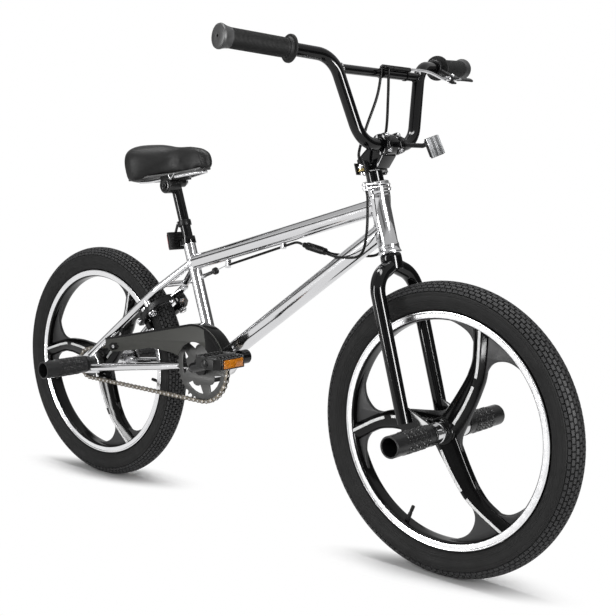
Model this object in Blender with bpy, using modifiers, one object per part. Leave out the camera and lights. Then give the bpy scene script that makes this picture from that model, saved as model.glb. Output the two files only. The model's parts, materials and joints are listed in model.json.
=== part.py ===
"""A freestyle BMX bike with moulded three-spoke wheels, pegs and a rotor rear brake.

Metres, +X forward, +Y to the rider's left, +Z up. The origin is on the ground midway between the axles.
"""

import math

import bmesh
import bpy
from mathutils import Matrix, Vector

# Fits
GAP = 0.0003  # between pieces that touch
RUN = 0.0003  # radial running clearance of a turning piece

# Wheels
WHEELBASE = 0.931
TYRE_RADIUS = 0.260
TYRE_WIDTH = 0.053
RIM_RADIUS = 0.2095
RIM_WIDTH = 0.033
RIM_DEPTH = 0.015
RIM_INNER_WIDTH = 0.018
SPOKE_COUNT = 3
SPOKE_PLATE = 0.014
SPOKE_RIB_RADIUS = 0.0105
HUB_RADIUS = 0.025
HUB_WIDTH = 0.038
FRONT_WHEEL_TURN = 0.0
REAR_WHEEL_TURN = math.radians(-11)
COLLAR_RADIUS = 0.0185
COLLAR_GROOVE = 0.002
WHEEL_STEPS = 32

# Axles and pegs
AXLE_RADIUS = 0.007
NUT_RADIUS = 0.0115
NUT_HEIGHT = 0.010
FRONT_HUB_SPACING = 0.100
REAR_HUB_SPACING = 0.110
DROPOUT_PLATE = 0.0055
PEG_RADIUS = 0.019
PEG_BORE_RADIUS = 0.0155
PEG_LENGTH = 0.110
PEG_WALL = 0.008

# Steering
HEAD_ANGLE = math.radians(74)
FORK_RAKE = 0.043
FORK_LENGTH = 0.322
STEERER_RADIUS = 0.0127
FORK_LEG_RADIUS = 0.0143
FORK_LEG_SPREAD = 0.058
HEAD_TUBE_LENGTH = 0.0955
HEAD_TUBE_RADIUS = 0.018
HEAD_TUBE_BORE = 0.0152
LOWER_CUP_HEIGHT = 0.0107
UPPER_CUP_HEIGHT = 0.0110
CUP_RADIUS = 0.0210
LOCKNUT_HEIGHT = 0.0080
ROTOR_PLATE = 0.0030
ROTOR_EAR = 0.032
ROTOR_BEARING_HEIGHT = 0.008
ROTOR_BEARING_RADIUS = 0.0235
SLEEVE_RADIUS = 0.0155
SLEEVE_LENGTH = 0.0215
BARREL_HEIGHT = 0.016

# Stem and handlebar
STEM_REACH = 0.042
STEM_RISE = 0.0585
STEM_WIDTH = 0.050
STEM_BODY_WIDTH = 0.036
CLAMP_RADIUS = 0.0185
BAR_RADIUS = 0.0111
CROSSBAR_RADIUS = 0.008
BAR_LOWER_HALF = 0.0755
BAR_UPPER_HALF = 0.1255
BAR_UPPER_RISE = 0.1453
BAR_UPPER_FORWARD = 0.0149
BAR_CROSS_RISE = 0.1260
BAR_END_HALF = 0.343
BAR_END_RISE = 0.1735
BAR_SWEEP = 0.0287
BAR_BEND = 0.050
GRIP_LENGTH = 0.136
GRIP_RADIUS = 0.0165
GRIP_FLANGE_RADIUS = 0.0235
GRIP_END_RADIUS = 0.0205
GRIP_FLANGE = 0.004
GRIP_CAP = 0.004

# Frame
BB_HEIGHT = 0.3015
BB_SHELL_RADIUS = 0.0280
BB_SHELL_WIDTH = 0.068
BB_CUP_RADIUS = 0.0250
BB_FLANGE = 0.0038
BB_CUP_DEPTH = 0.012
SEAT_ANGLE = math.radians(71)
SEAT_TUBE_LENGTH = 0.2643
SEAT_TUBE_RADIUS = 0.0132
TOP_TUBE_RADIUS = 0.0160
TOP_TUBE_DROP = 0.0185
TOP_TUBE_SEAT = 0.2160
DOWN_TUBE_RADIUS = 0.0172
DOWN_TUBE_RISE = 0.0340
SEAT_STAY_RADIUS = 0.0080
CHAIN_STAY_RADIUS = 0.0085
STAY_SPREAD = 0.0577
STAY_BEND_HALF = 0.0405
SEAT_STAY_JOIN = 0.2150

# Seat
POST_RADIUS = 0.0111
POST_RISE = 0.126
POST_INSERT = 0.062
POST_DROP = 0.005
CLAMP_RING_RADIUS = 0.0152
CLAMP_RING_DEPTH = 0.0076
CLAMP_RING_RISE = 0.0070
SADDLE_LENGTH = 0.225
SADDLE_WIDTH = 0.156
SADDLE_NOSE_WIDTH = 0.046
SADDLE_HEIGHT = 0.080
SADDLE_NOSE_HEIGHT = 0.032
SADDLE_SETBACK = 0.112
SADDLE_TILT = math.radians(9)
SADDLE_BASE = 0.005
SADDLE_BASE_SHARE = 0.70
SADDLE_SKIRT = 0.012
SADDLE_CLAMP_RISE = 0.0055
RAIL_RADIUS = 0.0035
RAIL_HALF = 0.0215
RAIL_DROP = 0.009
SADDLE_CLAMP_RADIUS = 0.0165
SADDLE_CLAMP_WIDTH = 0.056

# Drive
CHAIN_PITCH = 0.0127
CHAIN_LINKS = 84
CHAINRING_TEETH = 36
SPROCKET_TEETH = 16
CHAIN_LINE = 0.042
CHAIN_HEIGHT = 0.0040
CHAIN_INNER_HALF = 0.0020
CHAIN_PLATES = 0.0024
ROLLER_HALF = 0.0028
TOOTH_PLATE = 0.0026
FREEWHEEL_RADIUS = 0.022
FREEWHEEL_OUTER = 0.0495
CRANK_LENGTH = 0.165
CRANK_ANGLE = math.radians(16)
CRANK_RADIUS = 0.0105
SPINDLE_RADIUS = 0.0115
CRANK_OFFSET = 0.074
CRANK_FLARE = 0.012
CRANK_EYE_RADIUS = 0.0135
PEDAL_START = 0.1075
PEDAL_LENGTH = 0.064
PEDAL_WIDTH = 0.080
PEDAL_HEIGHT = 0.020
PEDAL_BAR = 0.013
PEDAL_BARREL_RADIUS = 0.0125
PEDAL_PIN_RADIUS = 0.0060
PEDAL_PITCH = {"right": 0.0, "left": math.radians(80)}
PEDAL_REFLECTOR = (0.0036, 0.050, 0.016)
GUARD_PLATE = 0.0025
GUARD_RADIUS = 0.089
GUARD_INNER_RADIUS = 0.052
GUARD_DEPTH = 0.032
GUARD_OFFSET = 0.0610
GUARD_LENGTH = 0.283
GUARD_LIP = 0.0006
GUARD_RIM_START = 0.024  # clear of the seat stay

# Rear brake
BRAKE_ANGLE = math.radians(40)
BRAKE_PIVOT_REACH = 0.250
BRAKE_PIVOT_HALF = 0.0430
BRAKE_BOSS_RADIUS = 0.0070
BRAKE_STUD_RADIUS = 0.0040
BRAKE_OFFSET = 0.017
BRAKE_ARM = 0.012
ARM_TIP_HALF = 0.0150
ARM_TIP_REACH = 0.2890
PAD_GAP = 0.0022
PAD_DEPTH = 0.0098
PAD_LENGTH = 0.042
PAD_HEIGHT = 0.0095

# Cables
CABLE_RADIUS = 0.0025
WIRE_RADIUS = 0.0010
WRAP_RADIUS = 0.0042
WRAP_SHARES = (0.50, 0.84)  # along the crossbar from its right end
CLIP_SHARE = 0.52  # along the top tube from the seat
CLIP_DROP = 0.0055
STOP_SHARE = 0.21
STOP_DROP = 0.0100
SPLIT_SHARES = (0.6276, 0.7415)
SPLIT_DROPS = (0.0137, 0.0393)
ADJUSTER_LENGTH = 0.036

# Derived places
REAR_AXLE = Vector((-WHEELBASE / 2, 0, TYRE_RADIUS))
FRONT_AXLE = Vector((WHEELBASE / 2, 0, TYRE_RADIUS))
STEER_UP = Vector((-math.cos(HEAD_ANGLE), 0, math.sin(HEAD_ANGLE)))
STEER_FORWARD = Vector((math.sin(HEAD_ANGLE), 0, math.cos(HEAD_ANGLE)))
STEER_FOOT = FRONT_AXLE - FORK_RAKE * STEER_FORWARD
HEAD_LOW = FORK_LENGTH + LOWER_CUP_HEIGHT + 2 * GAP
HEAD_HIGH = HEAD_LOW + HEAD_TUBE_LENGTH
UPPER_CUP_LOW = HEAD_HIGH + GAP
ROTOR_LOWER = UPPER_CUP_LOW + UPPER_CUP_HEIGHT + GAP
LOCKNUT_LOW = ROTOR_LOWER + ROTOR_PLATE + GAP
STEERER_TOP = LOCKNUT_LOW + LOCKNUT_HEIGHT
SLEEVE_LOW = STEERER_TOP + GAP
ROTOR_BEARING_LOW = LOCKNUT_LOW + 0.001
ROTOR_UPPER = SLEEVE_LOW + SLEEVE_LENGTH - ROTOR_PLATE - GAP
STEM_LOW = SLEEVE_LOW + SLEEVE_LENGTH
BAR_HEIGHT = STEERER_TOP + STEM_RISE
STRADDLE_FORWARD = BRAKE_OFFSET + BRAKE_ARM / 2
Y_AXIS = Vector((0, 1, 0))
PART = bpy.data.collections.new("bmx_bike")
CUTTERS = bpy.data.collections.new("cutters")


def clear_scene():
    for obj in list(bpy.data.objects):
        bpy.data.objects.remove(obj)
    bpy.context.scene.collection.children.link(PART)
    bpy.context.scene.collection.children.link(CUTTERS)


def material(name, colour, roughness, metallic=0.0):
    made = bpy.data.materials.get(name)
    if made is None:
        made = bpy.data.materials.new(name)
        made.use_nodes = True
        shader = made.node_tree.nodes["Principled BSDF"]
        shader.inputs["Base Color"].default_value = (*colour, 1)
        shader.inputs["Roughness"].default_value = roughness
        shader.inputs["Metallic"].default_value = metallic
    return made


def chrome():
    return material("chrome", (0.78, 0.78, 0.80), 0.12, 1.0)


def gloss_black():
    return material("gloss_black", (0.012, 0.012, 0.013), 0.15)


def black_plastic():
    return material("black_plastic", (0.02, 0.02, 0.02), 0.45)


def rubber():
    return material("rubber", (0.025, 0.025, 0.025), 0.8)


def dark_steel():
    return material("dark_steel", (0.10, 0.10, 0.095), 0.4, 1.0)


def lens(name, colour):
    return material(name, colour, 0.1)


# Shape helpers


def add_object(name, data, finish):
    obj = bpy.data.objects.new(name, data)
    PART.objects.link(obj)
    if finish is not None:
        obj.data.materials.append(finish)
    return obj


def as_mesh(obj):
    """Replaces an object by the mesh it evaluates to, with its loose caps welded."""
    bpy.context.view_layer.update()
    graph = bpy.context.evaluated_depsgraph_get()
    mesh = bpy.data.meshes.new_from_object(obj.evaluated_get(graph))
    name, matrix = obj.name, obj.matrix_world.copy()
    finish = obj.data.materials[0] if obj.data.materials else None
    bpy.data.objects.remove(obj)
    work = bmesh.new()
    work.from_mesh(mesh)
    bmesh.ops.remove_doubles(work, verts=work.verts, dist=1e-6)
    bmesh.ops.recalc_face_normals(work, faces=work.faces)
    work.to_mesh(mesh)
    work.free()
    mesh.materials.clear()
    made = add_object(name, mesh, finish)
    made.matrix_world = matrix
    return made


def combine(target, others, operation):
    """Joins other solids to the target, or cuts them from it, and removes them."""
    for number, other in enumerate(others):
        CUTTERS.objects.link(other)
        PART.objects.unlink(other)
        other.hide_render = True
        other.display_type = "WIRE"
        boolean = target.modifiers.new(f"{operation.lower()}_{number}", "BOOLEAN")
        boolean.operation = operation
        boolean.object = other
    made = as_mesh(target)
    for other in others:
        bpy.data.objects.remove(other)
    return merge_flats(made)


def merge_flats(obj):
    """Makes each flat region left in pieces by a Boolean one face again."""
    work = bmesh.new()
    work.from_mesh(obj.data)
    bmesh.ops.dissolve_limit(work, angle_limit=math.radians(0.2), verts=work.verts, edges=work.edges)
    work.to_mesh(obj.data)
    work.free()
    return obj


def join(target, *others):
    return combine(target, others, "UNION")


def cut(target, *others):
    return combine(target, others, "DIFFERENCE")


def smooth(obj, angle=40):
    obj.data.shade_smooth()
    obj.data.set_sharp_from_angle(angle=math.radians(angle))
    return obj


def frame_matrix(origin, up, across):
    """A placement whose local Z runs along up and whose local X lies nearest across."""
    z = up.normalized()
    x = (across - z * across.dot(z)).normalized()
    y = z.cross(x)
    matrix = Matrix((x, y, z)).transposed().to_4x4()
    matrix.translation = origin
    return matrix


def fillet(corners, radius, steps=5):
    """The points of a bent tube: straight runs between corners, each corner an arc."""
    points = [corners[0]]
    for before, corner, after in zip(corners, corners[1:], corners[2:]):
        into = (before - corner).normalized()
        out = (after - corner).normalized()
        half = into.angle(out) / 2
        reach = radius / math.tan(half)
        centre = corner + (into + out).normalized() * radius / math.sin(half)
        start = corner + into * reach - centre
        end = corner + out * reach - centre
        turn = start.angle(end)
        for step in range(steps + 1):
            share = step / steps
            spoke = start * math.sin((1 - share) * turn) + end * math.sin(share * turn)
            points.append(centre + spoke / math.sin(turn))
    points.append(corners[-1])
    return points


def between(a, b, c, d, t):
    """The point a share t of the way from b to c on a smooth curve through four points."""
    bend = (2 * a - 5 * b + 4 * c - d) * t**2 + (3 * b - a - 3 * c + d) * t**3
    return 0.5 * (2 * b + (c - a) * t + bend)


def through(points, per_span=4):
    """A smooth curve through the points of a cable's route."""
    padded = [2 * points[0] - points[1], *points, 2 * points[-1] - points[-2]]
    made = []
    for four in zip(padded, padded[1:], padded[2:], padded[3:]):
        made += [between(*four, step / per_span) for step in range(per_span)]
    made.append(points[-1])
    return made


def tube(name, points, radius, finish, sides=12, taper=None):
    """A round bar along the points, as a closed mesh. taper gives the end radius as a share."""
    curve = bpy.data.curves.new(name, "CURVE")
    curve.dimensions = "3D"
    curve.bevel_depth = radius
    curve.bevel_resolution = (sides - 4) // 2
    curve.use_fill_caps = True
    spline = curve.splines.new("POLY")
    spline.points.add(len(points) - 1)
    for index, (point, place) in enumerate(zip(spline.points, points)):
        point.co = (*place, 1)
        if taper is not None:
            point.radius = 1 + (taper - 1) * index / (len(points) - 1)
    return smooth(as_mesh(add_object(name, curve, finish)))


def rod(name, start, end, radius, finish, sides=16):
    """A cylinder between two points."""
    mesh = bpy.data.meshes.new(name)
    work = bmesh.new()
    bmesh.ops.create_cone(
        work, cap_ends=True, segments=sides, radius1=radius, radius2=radius, depth=(end - start).length
    )
    work.to_mesh(mesh)
    work.free()
    obj = add_object(name, mesh, finish)
    lengthways = abs((end - start).normalized().x) > 0.9
    across = STEER_FORWARD if lengthways else Vector((1, 0, 0))
    obj.matrix_world = frame_matrix((start + end) / 2, end - start, across)
    return smooth(obj)


def block(name, centre, size, finish, rotation=None):
    mesh = bpy.data.meshes.new(name)
    work = bmesh.new()
    bmesh.ops.create_cube(work, size=1, matrix=Matrix.Diagonal((*size, 1)))
    work.to_mesh(mesh)
    work.free()
    obj = add_object(name, mesh, finish)
    obj.matrix_world = Matrix.Translation(centre) @ (rotation or Matrix.Identity(4))
    return obj


def turned(name, profile, origin, axis, finish, steps=16, across=Vector((1, 0, 0))):
    """A closed profile of (radius, height) points turned about the axis through the origin."""
    mesh = bpy.data.meshes.new(name)
    work = bmesh.new()
    ring = [work.verts.new((radius, 0, height)) for radius, height in profile]
    for first, second in zip(ring, ring[1:] + ring[:1]):
        work.edges.new((first, second))
    work.to_mesh(mesh)
    work.free()
    obj = add_object(name, mesh, finish)
    screw = obj.modifiers.new("turn", "SCREW")
    screw.steps = steps
    screw.render_steps = steps
    screw.use_merge_vertices = True
    screw.merge_threshold = 1e-5
    obj.matrix_world = frame_matrix(origin, axis, across)
    return smooth(as_mesh(obj))


def plate(name, outlines, thickness, matrix, finish):
    """A flat outline, with any holes after it, given a thickness about its own plane."""
    curve = bpy.data.curves.new(name, "CURVE")
    curve.dimensions = "2D"
    curve.fill_mode = "BOTH"
    curve.extrude = thickness / 2
    for outline in outlines:
        spline = curve.splines.new("POLY")
        spline.use_cyclic_u = True
        spline.points.add(len(outline) - 1)
        for point, (x, y) in zip(spline.points, outline):
            point.co = (x, y, 0, 1)
    obj = add_object(name, curve, finish)
    obj.matrix_world = matrix
    return as_mesh(obj)


def arc(centre, radius, start, end, steps):
    """Points of an arc, by angles in radians."""
    angles = [start + (end - start) * step / steps for step in range(steps + 1)]
    return [(centre[0] + radius * math.cos(a), centre[1] + radius * math.sin(a)) for a in angles]


def circle(radius, steps, centre=(0, 0), phase=0.0):
    return arc(centre, radius, phase, phase + math.tau, steps)[:-1]


def side_plane(origin):
    """Local X forward, local Y up, local Z to the bike's right."""
    return frame_matrix(origin, -Y_AXIS, Vector((1, 0, 0)))


def clear_bore(radius, sides):
    """The radius of a faceted hole that clears a round shaft all round."""
    return radius / math.cos(math.pi / sides) + GAP


def steer(along, forward=0.0, side=0.0):
    """A point by its height along the steering axis, measured from the axle's foot on it."""
    return STEER_FOOT + along * STEER_UP + forward * STEER_FORWARD + side * Y_AXIS


def loop_curve(corners, per_span):
    """A smooth closed outline through a few corners."""
    count = len(corners)
    made = []
    for index in range(count):
        four = [Vector(corners[(index + shift) % count]) for shift in (-1, 0, 1, 2)]
        made += [between(*four, step / per_span) for step in range(per_span)]
    return [(point.x, point.y) for point in made]


# Chain layout


def pitch_radius(teeth):
    return CHAIN_PITCH / (2 * math.sin(math.pi / teeth))


def chain_lean(centres):
    return math.asin((pitch_radius(CHAINRING_TEETH) - pitch_radius(SPROCKET_TEETH)) / centres)


def chain_sections(centres):
    """Links round the chainring, along one straight run and round the sprocket."""
    lean = chain_lean(centres)
    front = CHAINRING_TEETH * (math.pi + 2 * lean) / math.tau
    rear = SPROCKET_TEETH * (math.pi - 2 * lean) / math.tau
    return front, centres * math.cos(lean) / CHAIN_PITCH, rear


def chain_centres():
    """The distance between the axles that takes up the whole count of links."""
    low, high = 0.2, 0.8
    while high - low > 1e-9:
        middle = (low + high) / 2
        front, run, rear = chain_sections(middle)
        if front + 2 * run + rear < CHAIN_LINKS:
            low = middle
        else:
            high = middle
    return middle


CHAIN_STAY = chain_centres()
BB_RISE = BB_HEIGHT - TYRE_RADIUS
BB_X = REAR_AXLE.x + math.sqrt(CHAIN_STAY**2 - BB_RISE**2)
BB = Vector((BB_X, 0, BB_HEIGHT))
DRIVE_SLOPE = math.asin(BB_RISE / CHAIN_STAY)
SEAT_UP = Vector((-math.cos(SEAT_ANGLE), 0, math.sin(SEAT_ANGLE)))
SEAT_TOP = BB + SEAT_TUBE_LENGTH * SEAT_UP
POST_TOP = SEAT_TOP + POST_RISE * SEAT_UP
BRAKE_OUT = Vector((math.cos(BRAKE_ANGLE), 0, math.sin(BRAKE_ANGLE)))
BRAKE_FORWARD = Vector((math.sin(BRAKE_ANGLE), 0, -math.cos(BRAKE_ANGLE)))


def chain_place(count):
    """Where the chain is after a number of links from the chainring's upper tangent, in the side plane."""
    front, run, rear = chain_sections(CHAIN_STAY)
    lean = chain_lean(CHAIN_STAY)
    big, small = pitch_radius(CHAINRING_TEETH), pitch_radius(SPROCKET_TEETH)
    upper = math.pi / 2 + DRIVE_SLOPE + lean
    lower = -math.pi / 2 + DRIVE_SLOPE - lean
    ring = Vector((BB.x, BB.z))
    cog = Vector((REAR_AXLE.x, REAR_AXLE.z))

    def on(centre, radius, angle):
        return centre + radius * Vector((math.cos(angle), math.sin(angle)))

    count %= CHAIN_LINKS
    if count <= front:
        return on(ring, big, upper - count * math.tau / CHAINRING_TEETH)
    count -= front
    if count <= run:
        return on(ring, big, lower).lerp(on(cog, small, lower), count / run)
    count -= run
    if count <= rear:
        return on(cog, small, lower - count * math.tau / SPROCKET_TEETH)
    return on(cog, small, upper).lerp(on(ring, big, upper), (count - rear) / run)


def pin_angle(centre, count):
    place = chain_place(count) - Vector((centre.x, centre.z))
    return math.atan2(place.y, place.x)


def toothed_outline(teeth, phase):
    """Teeth round the pitch circle, with a chain roller's seat at the phase angle."""
    radius = pitch_radius(teeth)
    step = math.tau / teeth
    seat = radius - ROLLER_HALF - 0.0009
    tip = radius + 0.0036
    points = []
    for tooth in range(teeth):
        base = phase + tooth * step
        for share, reach in ((-0.22, seat), (0.22, seat), (0.5, tip)):
            angle = base + share * step
            points.append((reach * math.cos(angle), reach * math.sin(angle)))
    return points


# Frame


def make_frame():
    finish = chrome()
    head = rod("frame", steer(HEAD_LOW), steer(HEAD_HIGH), HEAD_TUBE_RADIUS, finish, 16)
    seat = rod("seat_tube", BB, SEAT_TOP, SEAT_TUBE_RADIUS, finish, 12)
    half = BB_SHELL_WIDTH / 2 * Y_AXIS
    shell = rod("shell", BB - half, BB + half, BB_SHELL_RADIUS, finish, 16)
    top = rod("top_tube", *top_tube_ends(), TOP_TUBE_RADIUS, finish, 12)
    down = rod("down_tube", BB, steer(HEAD_LOW + DOWN_TUBE_RISE), DOWN_TUBE_RADIUS, finish, 12)
    pieces = [seat, shell, top, down]
    for side in (-1, 1):
        pieces += stays(side, finish) + brake_boss(side, finish)
    pieces.append(brake_bridge(finish))
    guide_front, guide_rear = cable_guide()
    pieces.append(rod("cable_guide", guide_front, guide_rear, 0.0048, finish, 6))
    pieces += cable_lugs(finish)
    frame = join(head, *pieces)
    bores = [
        rod("head_bore", steer(HEAD_LOW - 0.01), steer(HEAD_HIGH + 0.01), HEAD_TUBE_BORE, None, 16),
        rod("shell_bore", BB - 2 * half, BB + 2 * half, BB_CUP_RADIUS + GAP, None, 16),
        rod("post_bore", SEAT_TOP - (POST_INSERT + POST_DROP + 0.001) * SEAT_UP, SEAT_TOP + 0.02 * SEAT_UP,
            POST_RADIUS + RUN, None, 12),
        *[rod(f"lug_bore_{i}", a, b, CABLE_RADIUS + GAP, None, 6) for i, (a, b) in enumerate(lug_bores())],
    ]
    return smooth(cut(frame, *bores))


def stays(side, finish):
    """The seat stay, chain stay and dropout of one side."""
    join_top = BB + SEAT_STAY_JOIN * SEAT_UP + side * 0.010 * Y_AXIS
    low = REAR_AXLE + Vector((0.0207, side * STAY_SPREAD, 0.0244))
    bend = low.lerp(join_top, 0.72)
    bend.y = side * STAY_BEND_HALF
    route = fillet([low, bend, join_top], 0.06, 2)
    seat_stay = tube(f"seat_stay{side}", route, SEAT_STAY_RADIUS, finish, 8)
    start = REAR_AXLE + Vector((0.030, side * STAY_SPREAD, -0.004))
    end = BB + Vector((-0.012, side * 0.0165, -0.001))
    elbow = start.lerp(end, 0.655)
    elbow.y = side * 0.0390
    route = fillet([start, elbow, end], 0.06, 2)
    chain_stay = tube(f"chain_stay{side}", route, CHAIN_STAY_RADIUS, finish, 8)
    slot = AXLE_RADIUS + GAP
    outline = [
        (0.048, -0.014), (0.052, 0.008), (0.036, 0.036), (0.018, 0.034), (-0.004, 0.019), (-0.027, 0.0155),
        (-0.027, slot),
        *arc((0, 0), slot, math.pi / 2, -math.pi / 2, 8),
        (-0.027, -slot), (-0.027, -0.0155), (0.006, -0.020),
    ]
    middle = REAR_AXLE + side * (REAR_HUB_SPACING + DROPOUT_PLATE) / 2 * Y_AXIS
    dropout = plate(f"dropout{side}", [outline], DROPOUT_PLATE, side_plane(middle), finish)
    return [seat_stay, chain_stay, dropout]


def brake_point(out, half, forward):
    """A point of the rear brake: outwards from the axle, to one side, and forward of the stays."""
    return REAR_AXLE + out * BRAKE_OUT + half * Y_AXIS + forward * BRAKE_FORWARD


def brake_boss(side, finish):
    place = side * BRAKE_PIVOT_HALF
    boss = rod(
        f"boss{side}", brake_point(BRAKE_PIVOT_REACH, place, -0.003),
        brake_point(BRAKE_PIVOT_REACH, place, BRAKE_OFFSET), BRAKE_BOSS_RADIUS, finish, 8,
    )
    stud_end = brake_point(BRAKE_PIVOT_REACH, place, BRAKE_OFFSET + BRAKE_ARM + 0.003)
    stud = rod(
        f"stud{side}", brake_point(BRAKE_PIVOT_REACH, place, 0), stud_end, BRAKE_STUD_RADIUS, finish, 8
    )
    return [boss, stud]


def brake_bridge(finish):
    right, left = (brake_point(0.302, side * 0.037, -0.003) for side in (-1, 1))
    return rod("bridge", right, left, 0.006, finish, 8)


def cable_guide():
    """The ends of the tube that carries the brake wire through the seat tube."""
    middle = BB + 0.1815 * SEAT_UP
    along = Vector((math.cos(math.radians(21)), 0, math.sin(math.radians(21))))
    return middle + 0.024 * along, middle - 0.021 * along


def top_tube_ends():
    return BB + TOP_TUBE_SEAT * SEAT_UP, steer(HEAD_HIGH - TOP_TUBE_DROP)


def top_tube_under(share, drop):
    """A point below the top tube, by its share of the tube's length from the seat."""
    rear, front = top_tube_ends()
    return rear.lerp(front, share) - Vector((0, 0, TOP_TUBE_RADIUS + drop))


CLIP_PLACE = top_tube_under(CLIP_SHARE, CLIP_DROP)
STOP_PLACE = top_tube_under(STOP_SHARE, STOP_DROP)
SPLIT_REAR, SPLIT_FRONT = map(top_tube_under, SPLIT_SHARES, SPLIT_DROPS)


def cable_lugs(finish):
    """The clip and the cable stop below the top tube."""
    clip = block("clip", CLIP_PLACE + Vector((0, 0, 0.002)), (0.008, 0.010, 0.014), finish)
    stop = block("stop", STOP_PLACE + Vector((0, 0, 0.004)), (0.008, 0.010, 0.020), finish)
    return [clip, stop]


def lug_bores():
    along = (CLIP_PLACE - STOP_PLACE).normalized() * 0.02
    return [(CLIP_PLACE - along, CLIP_PLACE + along), (STOP_PLACE - along, STOP_PLACE + along)]


def make_headset():
    bore = STEERER_RADIUS + RUN
    low = FORK_LENGTH + GAP
    lower = [
        (bore, 0), (CUP_RADIUS - 0.001, 0), (CUP_RADIUS, 0.004), (HEAD_TUBE_RADIUS, LOWER_CUP_HEIGHT),
        (bore, LOWER_CUP_HEIGHT),
    ]
    turned("headset_lower_cup", lower[::-1], steer(low), STEER_UP, chrome(), 16)
    upper = [
        (bore, 0), (HEAD_TUBE_RADIUS, 0), (CUP_RADIUS, 0.007), (CUP_RADIUS, UPPER_CUP_HEIGHT),
        (bore, UPPER_CUP_HEIGHT),
    ]
    turned("headset_upper_cup", upper[::-1], steer(UPPER_CUP_LOW), STEER_UP, chrome(), 16)
    nut = [(bore, LOCKNUT_HEIGHT), (SLEEVE_RADIUS, LOCKNUT_HEIGHT), (SLEEVE_RADIUS, 0), (bore, 0)]
    turned("headset_locknut", nut, steer(LOCKNUT_LOW), STEER_UP, gloss_black(), 16)


def eared_plate(name, low, thickness, radius, bore, finish):
    """A rotor plate: a disc on the steering axis with a cable ear on each side."""
    ear = 0.0065
    lean = math.asin((radius - ear) / ROTOR_EAR)
    outline = []
    for turn in (0, math.pi):
        centre = (ROTOR_EAR * math.cos(turn), ROTOR_EAR * math.sin(turn))
        outline += arc(centre, ear, turn - math.pi / 2 + lean, turn + math.pi / 2 - lean, 4)
        outline += arc((0, 0), radius, turn + math.pi / 2 - lean, turn + math.pi / 2 + lean, 4)
    matrix = frame_matrix(steer(low + thickness / 2), STEER_UP, Y_AXIS)
    return plate(name, [outline, circle(bore, 16)], thickness, matrix, finish)


def make_rotor():
    eared_plate("rotor_lower_plate", ROTOR_LOWER, ROTOR_PLATE, 0.0205, STEERER_RADIUS + RUN, chrome())
    eared_plate(
        "rotor_bearing", ROTOR_BEARING_LOW, ROTOR_BEARING_HEIGHT, ROTOR_BEARING_RADIUS,
        clear_bore(SLEEVE_RADIUS + RUN, 16), chrome(),
    )
    upper = eared_plate(
        "rotor_upper_plate", ROTOR_UPPER, ROTOR_PLATE, 0.0205, SLEEVE_RADIUS + GAP, gloss_black()
    )
    barrels = [
        rod(f"barrel{side}", steer(ROTOR_UPPER + 0.001, 0, side * ROTOR_EAR),
            steer(ROTOR_UPPER + BARREL_HEIGHT, 0, side * ROTOR_EAR), 0.0042, None, 8)
        for side in (-1, 1)
    ]
    join(upper, *barrels)


def make_fork():
    finish = gloss_black()
    fork = rod("fork", steer(FORK_LENGTH - 0.022), steer(STEERER_TOP), STEERER_RADIUS, finish, 12)
    crown = rod("crown", steer(FORK_LENGTH - 0.030), steer(FORK_LENGTH), 0.0190, finish, 12)
    pieces = [crown]
    inner = FRONT_HUB_SPACING / 2
    for side in (-1, 1):
        corners = [
            steer(FORK_LENGTH - 0.020, 0, side * 0.004),
            steer(FORK_LENGTH - 0.042, 0, side * FORK_LEG_SPREAD),
            steer(0.026, 0, side * FORK_LEG_SPREAD),
        ]
        pieces.append(tube(f"leg{side}", fillet(corners, 0.046, 4), FORK_LEG_RADIUS, finish, 10, 0.86))
        outline = [
            (-0.010, 0.045), (0.010, 0.052), (FORK_RAKE + 0.0155, 0.0125),
            *arc((FORK_RAKE, 0), 0.0195, math.radians(25), math.radians(-110), 6),
            (-0.006, -0.006), (-0.0115, 0.012),
        ]
        middle = STEER_FOOT + side * (inner + DROPOUT_PLATE / 2) * Y_AXIS
        matrix = frame_matrix(middle, -Y_AXIS, STEER_FORWARD)
        pieces.append(plate(f"fork_end{side}", [outline], DROPOUT_PLATE, matrix, finish))
    fork = join(fork, *pieces)
    reach = FRONT_HUB_SPACING * Y_AXIS
    bore = rod("axle_bore", FRONT_AXLE - reach, FRONT_AXLE + reach, AXLE_RADIUS + GAP, None)
    smooth(cut(fork, bore))


# Stem and handlebar


def bar_point(rise, half, forward):
    """A point of the handlebar by its height above the clamp and its place forward of it."""
    return steer(BAR_HEIGHT + rise, STEM_REACH + forward, half)


def bar_corners(side):
    return [
        bar_point(0, 0, 0),
        bar_point(0, side * BAR_LOWER_HALF, 0),
        bar_point(BAR_UPPER_RISE, side * BAR_UPPER_HALF, BAR_UPPER_FORWARD),
        bar_point(BAR_END_RISE, side * BAR_END_HALF, -BAR_SWEEP),
    ]


def crossbar_end(side):
    corners = bar_corners(side)
    return corners[1].lerp(corners[2], BAR_CROSS_RISE / BAR_UPPER_RISE)


def bar_end(side):
    """The handlebar's end and the direction in which its grip section runs outwards."""
    corners = bar_corners(side)
    return corners[3], (corners[3] - corners[2]).normalized()


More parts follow.
